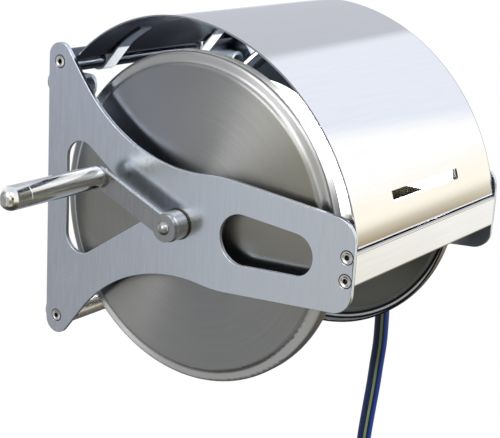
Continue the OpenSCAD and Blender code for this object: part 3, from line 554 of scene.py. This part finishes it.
# Low colour, high colour, roughness, squeeze, depth of the relief in millimetres
STEELS = {
    "turned_steel": ((0.62, 0.61, 0.57), (0.72, 0.71, 0.67), 0.16, TURNED, 0.002),
    "satin_steel": ((0.60, 0.60, 0.60), (0.70, 0.70, 0.69), 0.25, BRUSHED_X, 0.004),
    "mill_steel": ((0.86, 0.86, 0.84), (0.93, 0.93, 0.92), 0.5, BRUSHED_X, 0.004),
    "film_steel": ((0.07, 0.08, 0.11), (0.10, 0.115, 0.15), 0.12, TURNED, 0.001),
    "boss_steel": ((0.30, 0.36, 0.42), (0.36, 0.42, 0.48), 0.4, TURNED, 0.001),
    "grip_steel": ((0.78, 0.78, 0.76), (0.84, 0.84, 0.82), 0.07, TURNED, 0.0005),
    "arm_steel": ((0.37, 0.38, 0.39), (0.43, 0.44, 0.45), 0.2, BRUSHED_Z, 0.001),
}
# Parts that are less of a mirror than bare metal, or that hands keep clean
UNUSUAL = {
    "turned_steel": {"metal": 0.8}, "mill_steel": {"metal": 0.0}, "boss_steel": {"metal": 0.3},
    "grip_steel": {"marks": 0.0},
}
finishes = {name: steel(name, *values, **UNUSUAL.get(name, {})) for name, values in STEELS.items()}
print("plain steels:", sorted(finishes))

# %% [markdown]
# The drum's shafts turn in dark bronze bushes, and the water fittings are brass. Both could have
# nodes of their own, but they are worked like steel and differ only in colour, so the same
# function makes them. Bronze that carries oil is nearly brown. Cast brass has no lines but an
# even speckle, which the same squeeze in all directions gives.

# %% Finish: bronze and brass
TURNED_COARSE, SPECKLED = (600, 40, 40), (200, 200, 200)
finishes["bush_bronze"] = steel("bush_bronze", (0.07, 0.06, 0.04), (0.10, 0.08, 0.05), 0.35,
                                TURNED_COARSE, 0.003)
finishes["fitting_brass"] = steel("fitting_brass", (0.66, 0.56, 0.36), (0.78, 0.68, 0.46), 0.2,
                                  SPECKLED, 0.002)
print("other metals: bush_bronze, fitting_brass")

# %% [markdown]
# Two steels have a part that looks different. The straps that carry the hood are bright where
# they grip the tube and painted dark further on, a painted shade where they run under the hood.
# The front panel is polished, and its top flange, where it faces up, is painted grey as a painted
# shade. Splitting the meshes would break them off the packed model. A colour laid over the
# finished one through a mask leaves the shapes alone.

# %% Finish: straps and front panel
POLISHED_X = (14, 260, 260)
STRAP_DARK_R, LOOKS_UP = (0.033, 0.035), (0.3, 0.5)


def overlay(material, make_mask, colour):
    """Lays a colour over a finished material where the mask is 1."""
    tree = material.node_tree
    base = tree.nodes["Principled BSDF"].inputs["Base Color"]
    tree.links.new(blend(tree, make_mask(tree), base.links[0].from_socket, colour), base)
    return material


def far_from_hinge(tree):
    """1 on what lies further from the hinge tube's middle than the straps' bright ends."""
    spot = vector(tree, "SUBTRACT", put(tree, "TexCoord").outputs["Object"], hood_hinge)
    flat = vector(tree, "MULTIPLY", spot, (0, 1, 1))
    return step(tree, vector(tree, "LENGTH", flat), *STRAP_DARK_R)


def facing_up(tree):
    """1 on surfaces that look up more than forward."""
    way = put(tree, "SeparateXYZ", put(tree, "TexCoord").outputs["Normal"])
    return step(tree, way.outputs["Z"], *LOOKS_UP)


bright_strap = steel("strap_steel", (0.34, 0.36, 0.39), (0.42, 0.44, 0.46), 0.4, BRUSHED_X,
                     0.001, metal=0.2)
polished_panel = steel("panel_steel", (0.86, 0.86, 0.87), (0.92, 0.92, 0.92), 0.04, POLISHED_X,
                       0.0006, marks=0.3, spread=0.04)
# Painted shade: the straps are dark away from the hinge tube, where they run under the hood
finishes["strap_steel"] = overlay(bright_strap, far_from_hinge, (0.05, 0.06, 0.08))
# Painted shade: the polished panel is painted grey where it faces up, on its top flange
finishes["panel_steel"] = overlay(polished_panel, facing_up, (0.50, 0.50, 0.52))
print("overlaid steels: strap_steel, panel_steel")

# %% [markdown]
# The side plates are cut from thick sheet and ground on a belt, which leaves fine upright lines
# on the outside and a cool, even grey. The inner faces are painted dark blue-grey, a painted shade
# for the dim inside of the reel. Two materials could be given to the two faces, but the way a face
# looks along X already tells them apart: on the outside it is the same way as from the axle to the
# plate.

# %% Finish: side plates
PLATE_INNER = (-0.05, -0.10)


def plate_finish():
    """Belt-ground outside, with fine upright lines; the inner face is painted dark blue as painted
    shade.
    """
    material, tree, shader, coords = new_finish("plate_steel")
    lines, _, dulling, height = worked(tree, coords["Object"], BRUSHED_Z, 0.4)
    inner = step(tree, look(tree, coords)["Along"], *PLATE_INNER)
    ground = blend(tree, lines, (0.66, 0.71, 0.79), (0.71, 0.76, 0.84))
    # The inner face's dark blue is painted shade
    fill(tree, shader, Metallic=1.0, Base_Color=blend(tree, inner, ground, (0.28, 0.32, 0.38)),
         Roughness=rough_by(tree, 0.22, (lines, 0.04), (dulling, 0.08)),
         Normal=relief(tree, height, 0.001))
    return material


finishes["plate_steel"] = plate_finish()
print("plate_steel:", len(finishes["plate_steel"].node_tree.nodes), "nodes")

# %% [markdown]
# The hood is rolled from thin mirror-polished sheet, with faint lines along the roll. Inside it
# is painted nearly black, a painted shade for the dark under the hood. Between the two lie the
# sheet's cut edges: the walls of the finger slot, which look neither in nor out and are painted
# dark grey as painted shade, and the rim at either end, a thin dark line. A bevel on the rim would
# draw that line too, but it would change the shape of the exact hood, so a narrow band of painted
# shade at its ends does it.

# %% Finish: hood
HOOD_INNER, CUT_WALL = (-0.02, -0.06), (0.15, 0.12)
HOOD_RIM_X, SLOT_ENDS_X = (0.1477, 0.1481), (0.125, 0.120)


def hood_finish():
    """Polished outside, with painted shade: dark inside, dark cut walls in the slot and a dark
    rim.
    """
    material, tree, shader, coords = new_finish("hood_steel")
    lines, _, dulling, height = worked(tree, coords["Object"], POLISHED_X, 0.3)
    way = look(tree, coords)
    inner = step(tree, way["Outward"], *HOOD_INNER)
    across = size_of(tree, way["X"])
    cut = both(tree, step(tree, size_of(tree, way["Outward"]), *CUT_WALL),
               step(tree, across, *SLOT_ENDS_X))
    polished = blend(tree, lines, (0.88, 0.88, 0.885), (0.905, 0.905, 0.905))
    # Painted shade: the dark rim band, the near-black inside and the dark cut walls
    colour = layers(tree, polished, [
        (step(tree, across, *HOOD_RIM_X), (0.34, 0.34, 0.36)),
        (inner, (0.012, 0.014, 0.024)),
        (cut, (0.16, 0.16, 0.17)),
    ])
    fill(tree, shader, Metallic=1.0, Base_Color=colour,
         Roughness=rough_by(tree, 0.035, (lines, 0.03), (inner, 0.1), (dulling, 0.04)),
         Normal=relief(tree, height, 0.0003))
    return material


finishes["hood_steel"] = hood_finish()
print("hood_steel:", len(finishes["hood_steel"].node_tree.nodes), "nodes")

# %% [markdown]
# The drum's discs are pressed from sheet and polished while they turn. Each has a face, a rim
# with a painted highlight, and a skirt bent over at the edge. The skirt and the upper part of the
# inner face are painted white and matt, painted light for the lit inside of the drum. Separate
# materials for these zones would end at mesh edges, and the real ones fade into each other. So the
# zones are masks, from the radius, from the way the surface looks, and from the place on the disc.

# %% Finish: discs, their zones
DISC_INNER, SKIRT_OUTWARD, SKIRT_INNER_X = (0.0, -0.02), (0.160, 0.172), (0.1310, 0.1300)
# The painted light begins at this height, and is full at a height that rises towards the wall
PAINTED_LIGHT_FROM_Z, FULL_OVER_Y, FULL_AT_Z = 0.010, (-0.10, -0.04), (0.0125, 0.09)
# The far disc's painted light ends on a curve: above it is a painted reflection of the dark hood
CURVE_MIDDLE_Y, CURVE_BEND, CURVE_TOP = 0.104, 4.26, (0.1065, 0.1085)
CURVE_LOWEST_Z = (0.06, 0.07)


def disc_zones(tree, way):
    """Masks of the disc: (painted light, painted reflection above the curve, painted shade low
    inside).
    """
    inside = step(tree, way["Along"], *DISC_INNER)
    skirt = either(tree, step(tree, way["Outward"], *SKIRT_OUTWARD),
                   step(tree, size_of(tree, way["X"]), *SKIRT_INNER_X))
    full_at = between(tree, way["Y"], *FULL_OVER_Y, *FULL_AT_Z)
    high = between(tree, way["Z"], PAINTED_LIGHT_FROM_Z, full_at)
    # Painted light: white on the skirt and high on the inner face
    painted_light = both(tree, either(tree, inside, skirt), high)
    rise = calc(tree, "SUBTRACT", way["Y"], CURVE_MIDDLE_Y)
    curve = calc(tree, "MULTIPLY_ADD", calc(tree, "MULTIPLY", rise, rise), CURVE_BEND, way["Z"])
    # Painted reflection of the dark hood on the far disc, above the curve
    above = both(tree, step(tree, curve, *CURVE_TOP),
                 both(tree, inside, step(tree, way["Z"], *CURVE_LOWEST_Z)))
    # Painted shade on the low part of the inner face
    low = both(tree, inside, calc(tree, "SUBTRACT", 1.0, high))
    return painted_light, above, low


print("disc zones: bare, above the curve, low inside")

# %% [markdown]
# A polished disc isn't one grey. It is painted warmer towards the room, cooler towards the wall at
# the top, and darker below: painted reflections. The lamps could be moved until their reflections
# did this, but they light everything else too. Broad, soft tints over the disc are simpler and
# turn with it. Low down inside lie a few narrow painted things: the painted shade behind the
# plate's slot, and the painted shade and the painted highlight of the rolled lip.

# %% Finish: discs, their colours
# Radii of the rim's painted highlight and of the lip's painted shade and painted highlight
RIM_HIGHLIGHT_R, LIP_SHADE_R = (0.1655, 0.1685), (0.1694, 0.1706)
LIP_HIGHLIGHT_R, LIP_HIGHLIGHT_HALF = 0.1745, (0.0016, 0.0008)
# Painted reflections: where on the disc (Y and Z where each is nothing and where it is full) and
# its colour
DISC_PAINTED_REFLECTIONS = [
    ((-0.04, -0.16), (-0.02, 0.04), (0.39, 0.38, 0.33)),
    ((-0.04, 0.08), (0.0, 0.07), (0.385, 0.395, 0.43)),
    ((0.0, 0.09), (-0.02, -0.08), (0.27, 0.27, 0.265)),
]
SLOT_SHADE = ((-0.08, -0.09), (-0.05, -0.03))


def patch(tree, way, y, z):
    """A soft-edged patch of the disc."""
    return both(tree, step(tree, way["Y"], *y), step(tree, way["Z"], *z))


def disc_colour(tree, way, rings, lines, zones):
    """The disc's colour: polished grey with painted reflections, painted light, shade and rings
    over it.
    """
    painted_light, above, low = zones
    radius = rings["Radius"]
    off_lip = size_of(tree, calc(tree, "SUBTRACT", radius, LIP_HIGHLIGHT_R))
    lip_highlight = step(tree, off_lip, *LIP_HIGHLIGHT_HALF)
    polished = blend(tree, lines, (0.33, 0.33, 0.33), (0.37, 0.37, 0.37))
    tints = [(patch(tree, way, y, z), tint) for y, z, tint in DISC_PAINTED_REFLECTIONS]
    return layers(tree, polished, tints + [
        # Painted highlight on the rim
        (step(tree, radius, *RIM_HIGHLIGHT_R), (0.62, 0.62, 0.62)),
        (painted_light, (0.95, 0.95, 0.94)),
        (above, (0.05, 0.06, 0.08)),
        (low, (0.14, 0.14, 0.13)),
        (both(tree, low, patch(tree, way, *SLOT_SHADE)), (0.03, 0.028, 0.018)),
        # Painted shade and painted highlight of the rolled lip
        (both(tree, low, step(tree, radius, *LIP_SHADE_R)), (0.015, 0.016, 0.02)),
        (both(tree, low, lip_highlight), (0.72, 0.73, 0.75)),
    ])


print("disc tints:", len(DISC_PAINTED_REFLECTIONS))

# %% [markdown]
# Light on a turned disc spreads across its lines, into two bright fans that meet at the axle.
# Bump alone can't do that without lines much finer than a pixel. The shader's anisotropy
# stretches the highlight, and a tangent round the X axis tells it which way. The zones of painted
# light aren't metallic: they are so matt that they look like white paint.

# %% Finish: discs
DISC_LINES = 700.0


def disc_finish():
    """Disc steel: circles polished outside; painted light, white and matt, on the skirt and high
    up inside.
    """
    material, tree, shader, coords = new_finish("disc_steel")
    rings = use_group(tree, ring_grain, Place=coords["Object"], Middle=axle, Lines=DISC_LINES)
    worn = use_group(tree, handling_marks, Place=coords["Object"], Amount=0.6)
    way = look(tree, coords)
    zones = disc_zones(tree, way)
    lines = between(tree, rings["Grain"], *CLOUD_RANGE)
    matt = calc(tree, "SUBTRACT", zones[0], zones[1], clamp=True)
    turned_round = put(tree, "Tangent")
    turned_round.direction_type, turned_round.axis = "RADIAL", "X"
    rough = rough_by(tree, 0.30, (lines, 0.04), (worn["Dulling"], 0.08), (matt, 0.4))
    fill(tree, shader, Base_Color=disc_colour(tree, way, rings, lines, zones),
         Metallic=calc(tree, "SUBTRACT", 1.0, matt), Roughness=rough, Anisotropic=0.93,
         Anisotropic_Rotation=0.25, Tangent=turned_round.outputs["Tangent"],
         Normal=relief(tree, rings["Grain"], 0.001))
    return material


finishes["disc_steel"] = disc_finish()
print("disc_steel:", len(finishes["disc_steel"].node_tree.nodes), "nodes")

# %% [markdown]
# The countersunk screws sit in the cross tubes' ends and in the front panel's flanges. Seen from
# the side each is a bright cone with a dark hexagon socket and a dark gap round its head. At this
# size the gap is thinner than the mesh can show well, so the dark of gap and socket is painted
# shade, drawn by distance from the nearest screw's middle, which also gives the slope of the cone.

# %% Finish: screws
SPECKLED_FINE = (300, 300, 300)
HEAD_EDGE_R, SOCKET_R, CONE_R = (0.0061, 0.0067), (0.0031, 0.0026), (0.0031, 0.0060)
CONE_DEPTH_MM = 0.8
LOWER_TUBE_DROP = 0.29609
PANEL_SCREW_Y, PANEL_SCREW_Z = -0.207852, (0.01105, -0.01295)
screws = [(hood_hinge.y, hood_hinge.z - drop) for drop in (0.0, LOWER_TUBE_DROP)]
screws += [(axle.y + PANEL_SCREW_Y, axle.z + z) for z in PANEL_SCREW_Z]


def screw_finish(middles):
    """Socket screws: a bright cone, with painted shade in the gap round the head and in the
    socket.
    """
    material, tree, shader, coords = new_finish("screw_steel")
    grain = use_group(tree, brush_grain, Place=coords["Object"], Squeeze=SPECKLED_FINE)
    spot = put(tree, "SeparateXYZ", coords["Object"]).outputs
    nearest = 1.0
    for y, z in middles:
        off_y = calc(tree, "SUBTRACT", spot["Y"], y)
        off_z = calc(tree, "SUBTRACT", spot["Z"], z)
        square = calc(tree, "MULTIPLY_ADD", off_y, off_y, calc(tree, "MULTIPLY", off_z, off_z))
        nearest = calc(tree, "MINIMUM", nearest, calc(tree, "SQRT", square))
    # Painted shade in the gap round each head and in its socket
    dark = either(tree, step(tree, nearest, *HEAD_EDGE_R), step(tree, nearest, *SOCKET_R))
    bright = blend(tree, grain["Grain"], (0.70, 0.70, 0.70), (0.84, 0.84, 0.83))
    fill(tree, shader, Metallic=1.0, Base_Color=blend(tree, dark, bright, (0.05, 0.05, 0.05)),
         Roughness=0.22, Normal=relief(tree, step(tree, nearest, *CONE_R), CONE_DEPTH_MM))
    return material


finishes["screw_steel"] = screw_finish(screws)
print("screw_steel: gaps and sockets of", len(screws), "screws on each side")

# %% [markdown]
# The hood comes to rest on black rubber buffers, and the inlet is sealed with rubber rings.
# Moulded rubber is never quite black: it has a fine grain that catches a little light. One noise
# drives both the colour and the relief, so that the light spots are also the high ones.

# %% Finish: rubber
def rubber_finish():
    """Moulded black rubber with a fine grain."""
    material, tree, shader, coords = new_finish("black_rubber")
    grains = put(tree, "TexNoise", Vector=coords["Object"], Scale=900.0, Detail=3.0).outputs["Fac"]
    fill(tree, shader, Base_Color=blend(tree, grains, (0.02, 0.02, 0.021), (0.05, 0.05, 0.052)),
         Roughness=0.6, Normal=relief(tree, grains, 0.05))
    return material


finishes["black_rubber"] = rubber_finish()
print("black_rubber:", len(finishes["black_rubber"].node_tree.nodes), "nodes")

# %% [markdown]
# The hose has a navy skin with one thin olive stripe, set off by a darker line on either side,
# and its right half is painted a stronger blue, painted light on its lit side. Under the skin lies
# a braid of crossing threads, which raises it a little. The braid could be modelled thread by
# thread, at a cost of many faces for a relief of a few hundredths of a millimetre. Two waves that
# run round the hose in opposite directions give the same relief: their larger value is the thread
# on top.

# %% Finish: hose
STRIPE_AT, STRIPE_HALF, LIT_SIDE_FROM = 0.582, 0.029, (0.64, 0.69)
# Edges of the stripe and of the darker line beside it, in half widths of the stripe
STRIPE_EDGE, DARKER_EDGE = (1.15, 0.85), (2.2, 1.6)
THREADS_ROUND, THREADS_ALONG = 24, 55


def beside_stripe(tree, off, edge):
    """The mask of what lies within the edge, to either side of the stripe's middle."""
    return step(tree, off, *(STRIPE_HALF * k for k in edge))


def hose_finish():
    """Blue hose with a thin olive stripe, a braid showing through the skin, painted light on one
    side.
    """
    material, tree, shader, coords = new_finish("hose_rubber")
    wrap = put(tree, "UVMap")
    wrap.uv_map = "hose_wrap"
    at = put(tree, "SeparateXYZ", wrap.outputs["UV"]).outputs
    waves = []
    for turns in (THREADS_ALONG, -THREADS_ALONG):
        along = calc(tree, "MULTIPLY", at["Y"], turns * tau)
        angle = calc(tree, "MULTIPLY_ADD", at["X"], THREADS_ROUND * tau, along)
        waves.append(calc(tree, "SINE", angle))
    off = size_of(tree, calc(tree, "SUBTRACT", at["X"], STRIPE_AT))
    dust = put(tree, "TexNoise", Vector=coords["Object"], Scale=60.0, Detail=4.0).outputs["Fac"]
    colour = layers(tree, blend(tree, dust, (0.004, 0.011, 0.050), (0.007, 0.018, 0.075)), [
        # Painted light: a stronger blue on the hose's lit side
        (step(tree, at["X"], *LIT_SIDE_FROM), (0.010, 0.040, 0.25)),
        (beside_stripe(tree, off, DARKER_EDGE), (0.003, 0.007, 0.012)),
        (beside_stripe(tree, off, STRIPE_EDGE), (0.13, 0.16, 0.10)),
    ])
    fill(tree, shader, Base_Color=colour, Roughness=between(tree, dust, *CLOUD_RANGE, 0.28, 0.42),
         Specular_IOR_Level=0.2, Normal=relief(tree, either(tree, *waves), 0.06))
    return material


finishes["hose_rubber"] = hose_finish()
feed_hose.data.materials.append(finishes["hose_rubber"])
print("hose_rubber:", len(finishes["hose_rubber"].node_tree.nodes), "nodes")

# %% [markdown]
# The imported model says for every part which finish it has, by the name of its slot. Some parts
# need a finish of their own: they share a slot with others, but their surface was worked another
# way. They are listed by name. Dressing part by part would be a long list, and a part that is
# left out would stay bare, so the slot decides unless a part is on that list.

# %% Dress the parts
OWN_FINISH = {
    "mill_steel": ["drum_core", "outlet_pipe", "outlet_tail"],
    "screw_steel": ["tube_screws", "panel_screws"],
    "film_steel": ["upper_tube"],
    "boss_steel": ["wall_boss_upper_left", "wall_boss_upper_right"],
    "grip_steel": ["handle_grip", "handle_cap"],
    "arm_steel": ["crank_boss", "crank_arm", "crank_screw"],
    "strap_steel": ["hinge_strap_left", "hinge_strap_right"],
    "panel_steel": ["front_panel"],
    "hood_steel": ["hood_shell"],
}
own = {part: finish for finish, parts in OWN_FINISH.items() for part in parts}
dressed = 0
for name, node in nodes.items():
    for i, old in enumerate(node.data.materials):
        node.data.materials[i] = finishes[own.get(name) or old.name.split(".")[0]]
        dressed += 1
print("material slots dressed:", dressed)

# %% [markdown]
# The plates were cut and then eased along their edges, and it is that narrow round which catches
# the light and makes thick sheet look thick. The exact model has sharp edges. Rounding them there
# would multiply its faces, so a bevel modifier does it here. The model's faces come apart at
# their edges, and a weld has to join them before the bevel can find one.

# %% Rounded plate edges
EASED_MM, EASED_STEPS, SHARP_FROM, WELD_WITHIN = 0.7, 2, 35, 0.00002


def round_edges(node):
    """Welds the node's faces together and rounds its sharp edges a little."""
    weld = node.modifiers.new("weld", "WELD")
    weld.merge_threshold = WELD_WITHIN
    edge = node.modifiers.new("edge", "BEVEL")
    edge.width, edge.segments = EASED_MM / 1000, EASED_STEPS
    edge.limit_method, edge.angle_limit = "ANGLE", radians(SHARP_FROM)
    edge.harden_normals = edge.use_clamp_overlap = True


for name in ("side_plate_left", "side_plate_right"):
    round_edges(nodes[name])
print("edges rounded by", EASED_MM, "mm on both side plates")

# %% [markdown]
# The floor is a plain pale sheet under the reel. A lit floor would need much light to look white,
# and the polished hood would mirror it. So it glows evenly by itself, and neither mirrors nor
# lamps see it: what the steel reflects comes from the studio alone.

# %% Floor
FLOOR_GAP, FLOOR_HALF = 0.12, 6
UNSEEN_BY = ("visible_glossy", "visible_diffuse", "visible_transmission", "visible_shadow")


def floor_piece():
    """A glowing sheet below the reel that only the camera sees."""
    z, far = cad_box[0][2] - FLOOR_GAP, FLOOR_HALF
    sheet = new_piece("floor", [(-far, -far, z), (far, -far, z), (far, far, z), (-far, far, z)],
                      [(0, 1, 2, 3)], smooth=False)
    paint = bpy.data.materials.new("floor_paint")
    paint.use_nodes = True
    tree = paint.node_tree
    glow = put(tree, "Emission", Color=(1, 1, 1, 1), Strength=1.0)
    plug(tree, tree.nodes["Material Output"].inputs["Surface"], glow.outputs[0])
    sheet.data.materials.append(paint)
    for way_seen in UNSEEN_BY:
        setattr(sheet, way_seen, False)
    return sheet


floor = floor_piece()
print("floor", FLOOR_GAP, "m under the reel")

# %% [markdown]
# Polished steel has hardly a colour of its own: it shows what stands round it. A real studio is a
# white tent with an open, darker floor. It could be built of big glowing sheets, but they would
# throw noise and shadows. The world's background does the same without either. Its light depends
# on the height of a direction only: warm and dark from below, even white from the side and above.

# %% Studio: tent
scene.view_settings.view_transform = "Standard"
# Height of a direction, as the sine of its angle over the floor, and the light from there
TENT = [(-1.0, (0.05, 0.042, 0.028)), (-0.70, (0.12, 0.10, 0.065)), (-0.50, (0.30, 0.26, 0.17)),
        (-0.36, (0.84, 0.80, 0.70)), (-0.2, (1.10, 1.10, 1.08)), (0.0, (1.12, 1.12, 1.12)),
        (0.5, (1.12, 1.12, 1.12)), (1.0, (0.8, 0.86, 0.95))]


def tent_light(tree, way):
    """The tent's light for every direction."""
    height = put(tree, "SeparateXYZ", way).outputs["Z"]
    shades = put(tree, "ValToRGB", between(tree, height, -1.0, 1.0, kind="LINEAR"))
    ends = shades.color_ramp.elements
    for end, (z, colour) in zip(ends, (TENT[0], TENT[-1])):
        end.position, end.color = (z + 1) / 2, (*colour, 1)
    for z, colour in TENT[1:-1]:
        ends.new((z + 1) / 2).color = (*colour, 1)
    return shades.outputs["Color"]


world = bpy.data.worlds.new("studio")
scene.world = world
world.use_nodes = True
air = world.node_tree
way_out = put(air, "TexCoord").outputs["Generated"]
light = tent_light(air, way_out)
print("tent:", len(TENT), "heights")

# %% [markdown]
# In a white tent, polished steel looks like white paper. It is shown off with grey and black
# cards, which it mirrors. The cards could be real sheets, but they would cast shadows and take
# light away. Drawn on the background they do neither. A card is a mask of directions: those in
# front of it, and no further from its middle than its half width and half height.

# %% Studio: one card
AHEAD_SOFT = 0.02


def card(tree, way, under, heading, height, wide, tall, soft, colour):
    """A soft-edged card far away, drawn over the light behind it."""
    turn, climb = radians(heading), radians(height)
    out = Vector((cos(turn) * cos(climb), sin(turn) * cos(climb), sin(climb)))
    level = Vector((-sin(turn), cos(turn), 0))
    ahead = vector(tree, "DOT_PRODUCT", way, out)
    mask = step(tree, ahead, 0.0, AHEAD_SOFT)
    for axis, half in ((level, wide), (out.cross(level), tall)):
        off = calc(tree, "DIVIDE", vector(tree, "DOT_PRODUCT", way, axis),
                   calc(tree, "MAXIMUM", ahead, AHEAD_SOFT))
        edge, blur = radians(half), radians(soft)
        mask = both(tree, mask, step(tree, size_of(tree, off), edge + blur, edge - blur))
    return blend(tree, mask, under, colour)


print("helper: card")

# %% [markdown]
# The cards stand where the steel mirrors them. The first five, beyond the reel and to its right,
# give the hood its bands and its underside its dark. Those from 128 to 166 degrees show in the
# outer faces of the plates and the discs. The next four, near the camera, show in the grip, the
# bosses and whatever else looks at the viewer, and the last, small and bright, is a window for
# the highlights. One big picture of a studio would do the same, but in a table of cards each
# reflection can be moved by itself.

# %% Studio: all cards
# Heading and height of the middle, half the width and the height, softness (all in degrees), light
CARDS = [
    (35, 24, 24, 22, 4, (0.58, 0.60, 0.66)),
    (-6, 30, 15, 34, 3, (0.88, 0.92, 1.02)),
    (38, -38, 34, 24, 5, (0.10, 0.11, 0.14)),
    (-34, 0, 16, 8, 6, (1.12, 1.06, 0.92)),
    (-38, -7, 13, 4, 4, (0.24, 0.17, 0.06)),
    (145, -5, 45, 48, 12, (0.62, 0.62, 0.62)),
    (128, -10, 12, 40, 6, (0.30, 0.31, 0.33)),
    (138, -9, 4, 5, 4, (0.60, 0.65, 0.76)),
    (143, -14, 3, 9, 4, (0.76, 0.78, 0.80)),
    (135, -20, 7, 10, 4, (0.34, 0.34, 0.35)),
    (166, -15, 9, 20, 6, (0.48, 0.46, 0.34)),
    (-150, -26, 30, 20, 6, (0.30, 0.27, 0.18)),
    (-134, 4, 14, 12, 4, (0.03, 0.028, 0.015)),
    (-146, 27, 11, 8, 4, (0.50, 0.48, 0.32)),
    (-166, -50, 22, 12, 4, (0.50, 0.52, 0.56)),
    (168, 22, 9, 14, 5, (5.5, 5.5, 5.5)),
]
for row in CARDS:
    light = card(air, way_out, light, *row)
print("cards:", len(CARDS))

# %% [markdown]
# The camera itself should see none of this, only plain white behind the reel. A white wall could
# stand there, but it would show in the steel too. The light path tells whether a ray comes
# straight from the camera, and such a ray gets plain white.

# %% Studio: white behind the reel
straight = put(air, "LightPath").outputs["Is Camera Ray"]
plug(air, air.nodes["Background"].inputs["Color"], blend(air, straight, light, (1, 1, 1)))
print("background:", len(air.nodes), "nodes")

# %% [markdown]
# The tent lights the matt parts evenly, and so a little flatly. A large soft box up on the left
# gives them a light and a dark side. Under the hood the tent hardly reaches: a small lamp there
# lights the drum and the far disc's inside, painted white, and a narrow strip does the same for
# the near disc's skirt. A brighter tent would have lit them too, and burnt out the rest. The two
# small lamps stand inside the reel, so cameras and mirrors don't see them.

# %% Lamps: soft box and the two under the hood
def soft_lamp(name, at, aim, size, power, tall=None):
    """A softbox that faces a point, square unless its height is given too."""
    lamp = bpy.data.lights.new(name, "AREA")
    lamp.shape, lamp.size, lamp.energy = "RECTANGLE" if tall else "SQUARE", size, power
    if tall:
        lamp.size_y = tall
    box = bpy.data.objects.new(name, lamp)
    scene.collection.objects.link(box)
    box.location = at
    box.rotation_euler = (Vector(aim) - Vector(at)).to_track_quat("-Z", "Y").to_euler()
    return box


skirt_at = axle + Vector((-0.12, -0.1486, 0.1338))
soft_lamp("key", (-1.6, -1.4, 1.8), (0, -0.2, 0), size=1.2, power=10)
inner_lamp = soft_lamp("inner", (0, axle.y - 0.13, axle.z + 0.12), (0.13, axle.y, axle.z + 0.06),
                       size=0.12, power=6)
skirt_strip = soft_lamp("skirt_strip", skirt_at, (skirt_at.x, axle.y, axle.z), size=0.04,
                        power=0.045, tall=0.12)
for hidden in (inner_lamp, skirt_strip):
    hidden.visible_camera = hidden.visible_glossy = False
print("lamps:", [lamp.name for lamp in bpy.data.lights])

# %% [markdown]
# The grip is a polished bar that mirrors a long light line on its upper side. A card on the
# background can't give it, because the same card would show on the plate behind. A small glowing
# card beside the grip does, and light linking keeps it off everything else.

# %% Lamp: card beside the grip
grip_card = soft_lamp("grip_card", axle + Vector((-0.219, 0.060, 0.078)),
                      axle + Vector((-0.25, 0.083, 0.045)), size=0.14, power=0.0085, tall=0.034)
grip_card.visible_camera = False
lit_by_card = bpy.data.collections.new("lit_by_grip_card")
lit_by_card.objects.link(nodes["handle_grip"])
grip_card.light_linking.receiver_collection = lit_by_card

# %% [markdown]
# Last, the number of imported parts and the name of the new hose are printed.

# %% Finish
print("size written; pieces:", len(nodes), "nodes and", feed_hose.name)
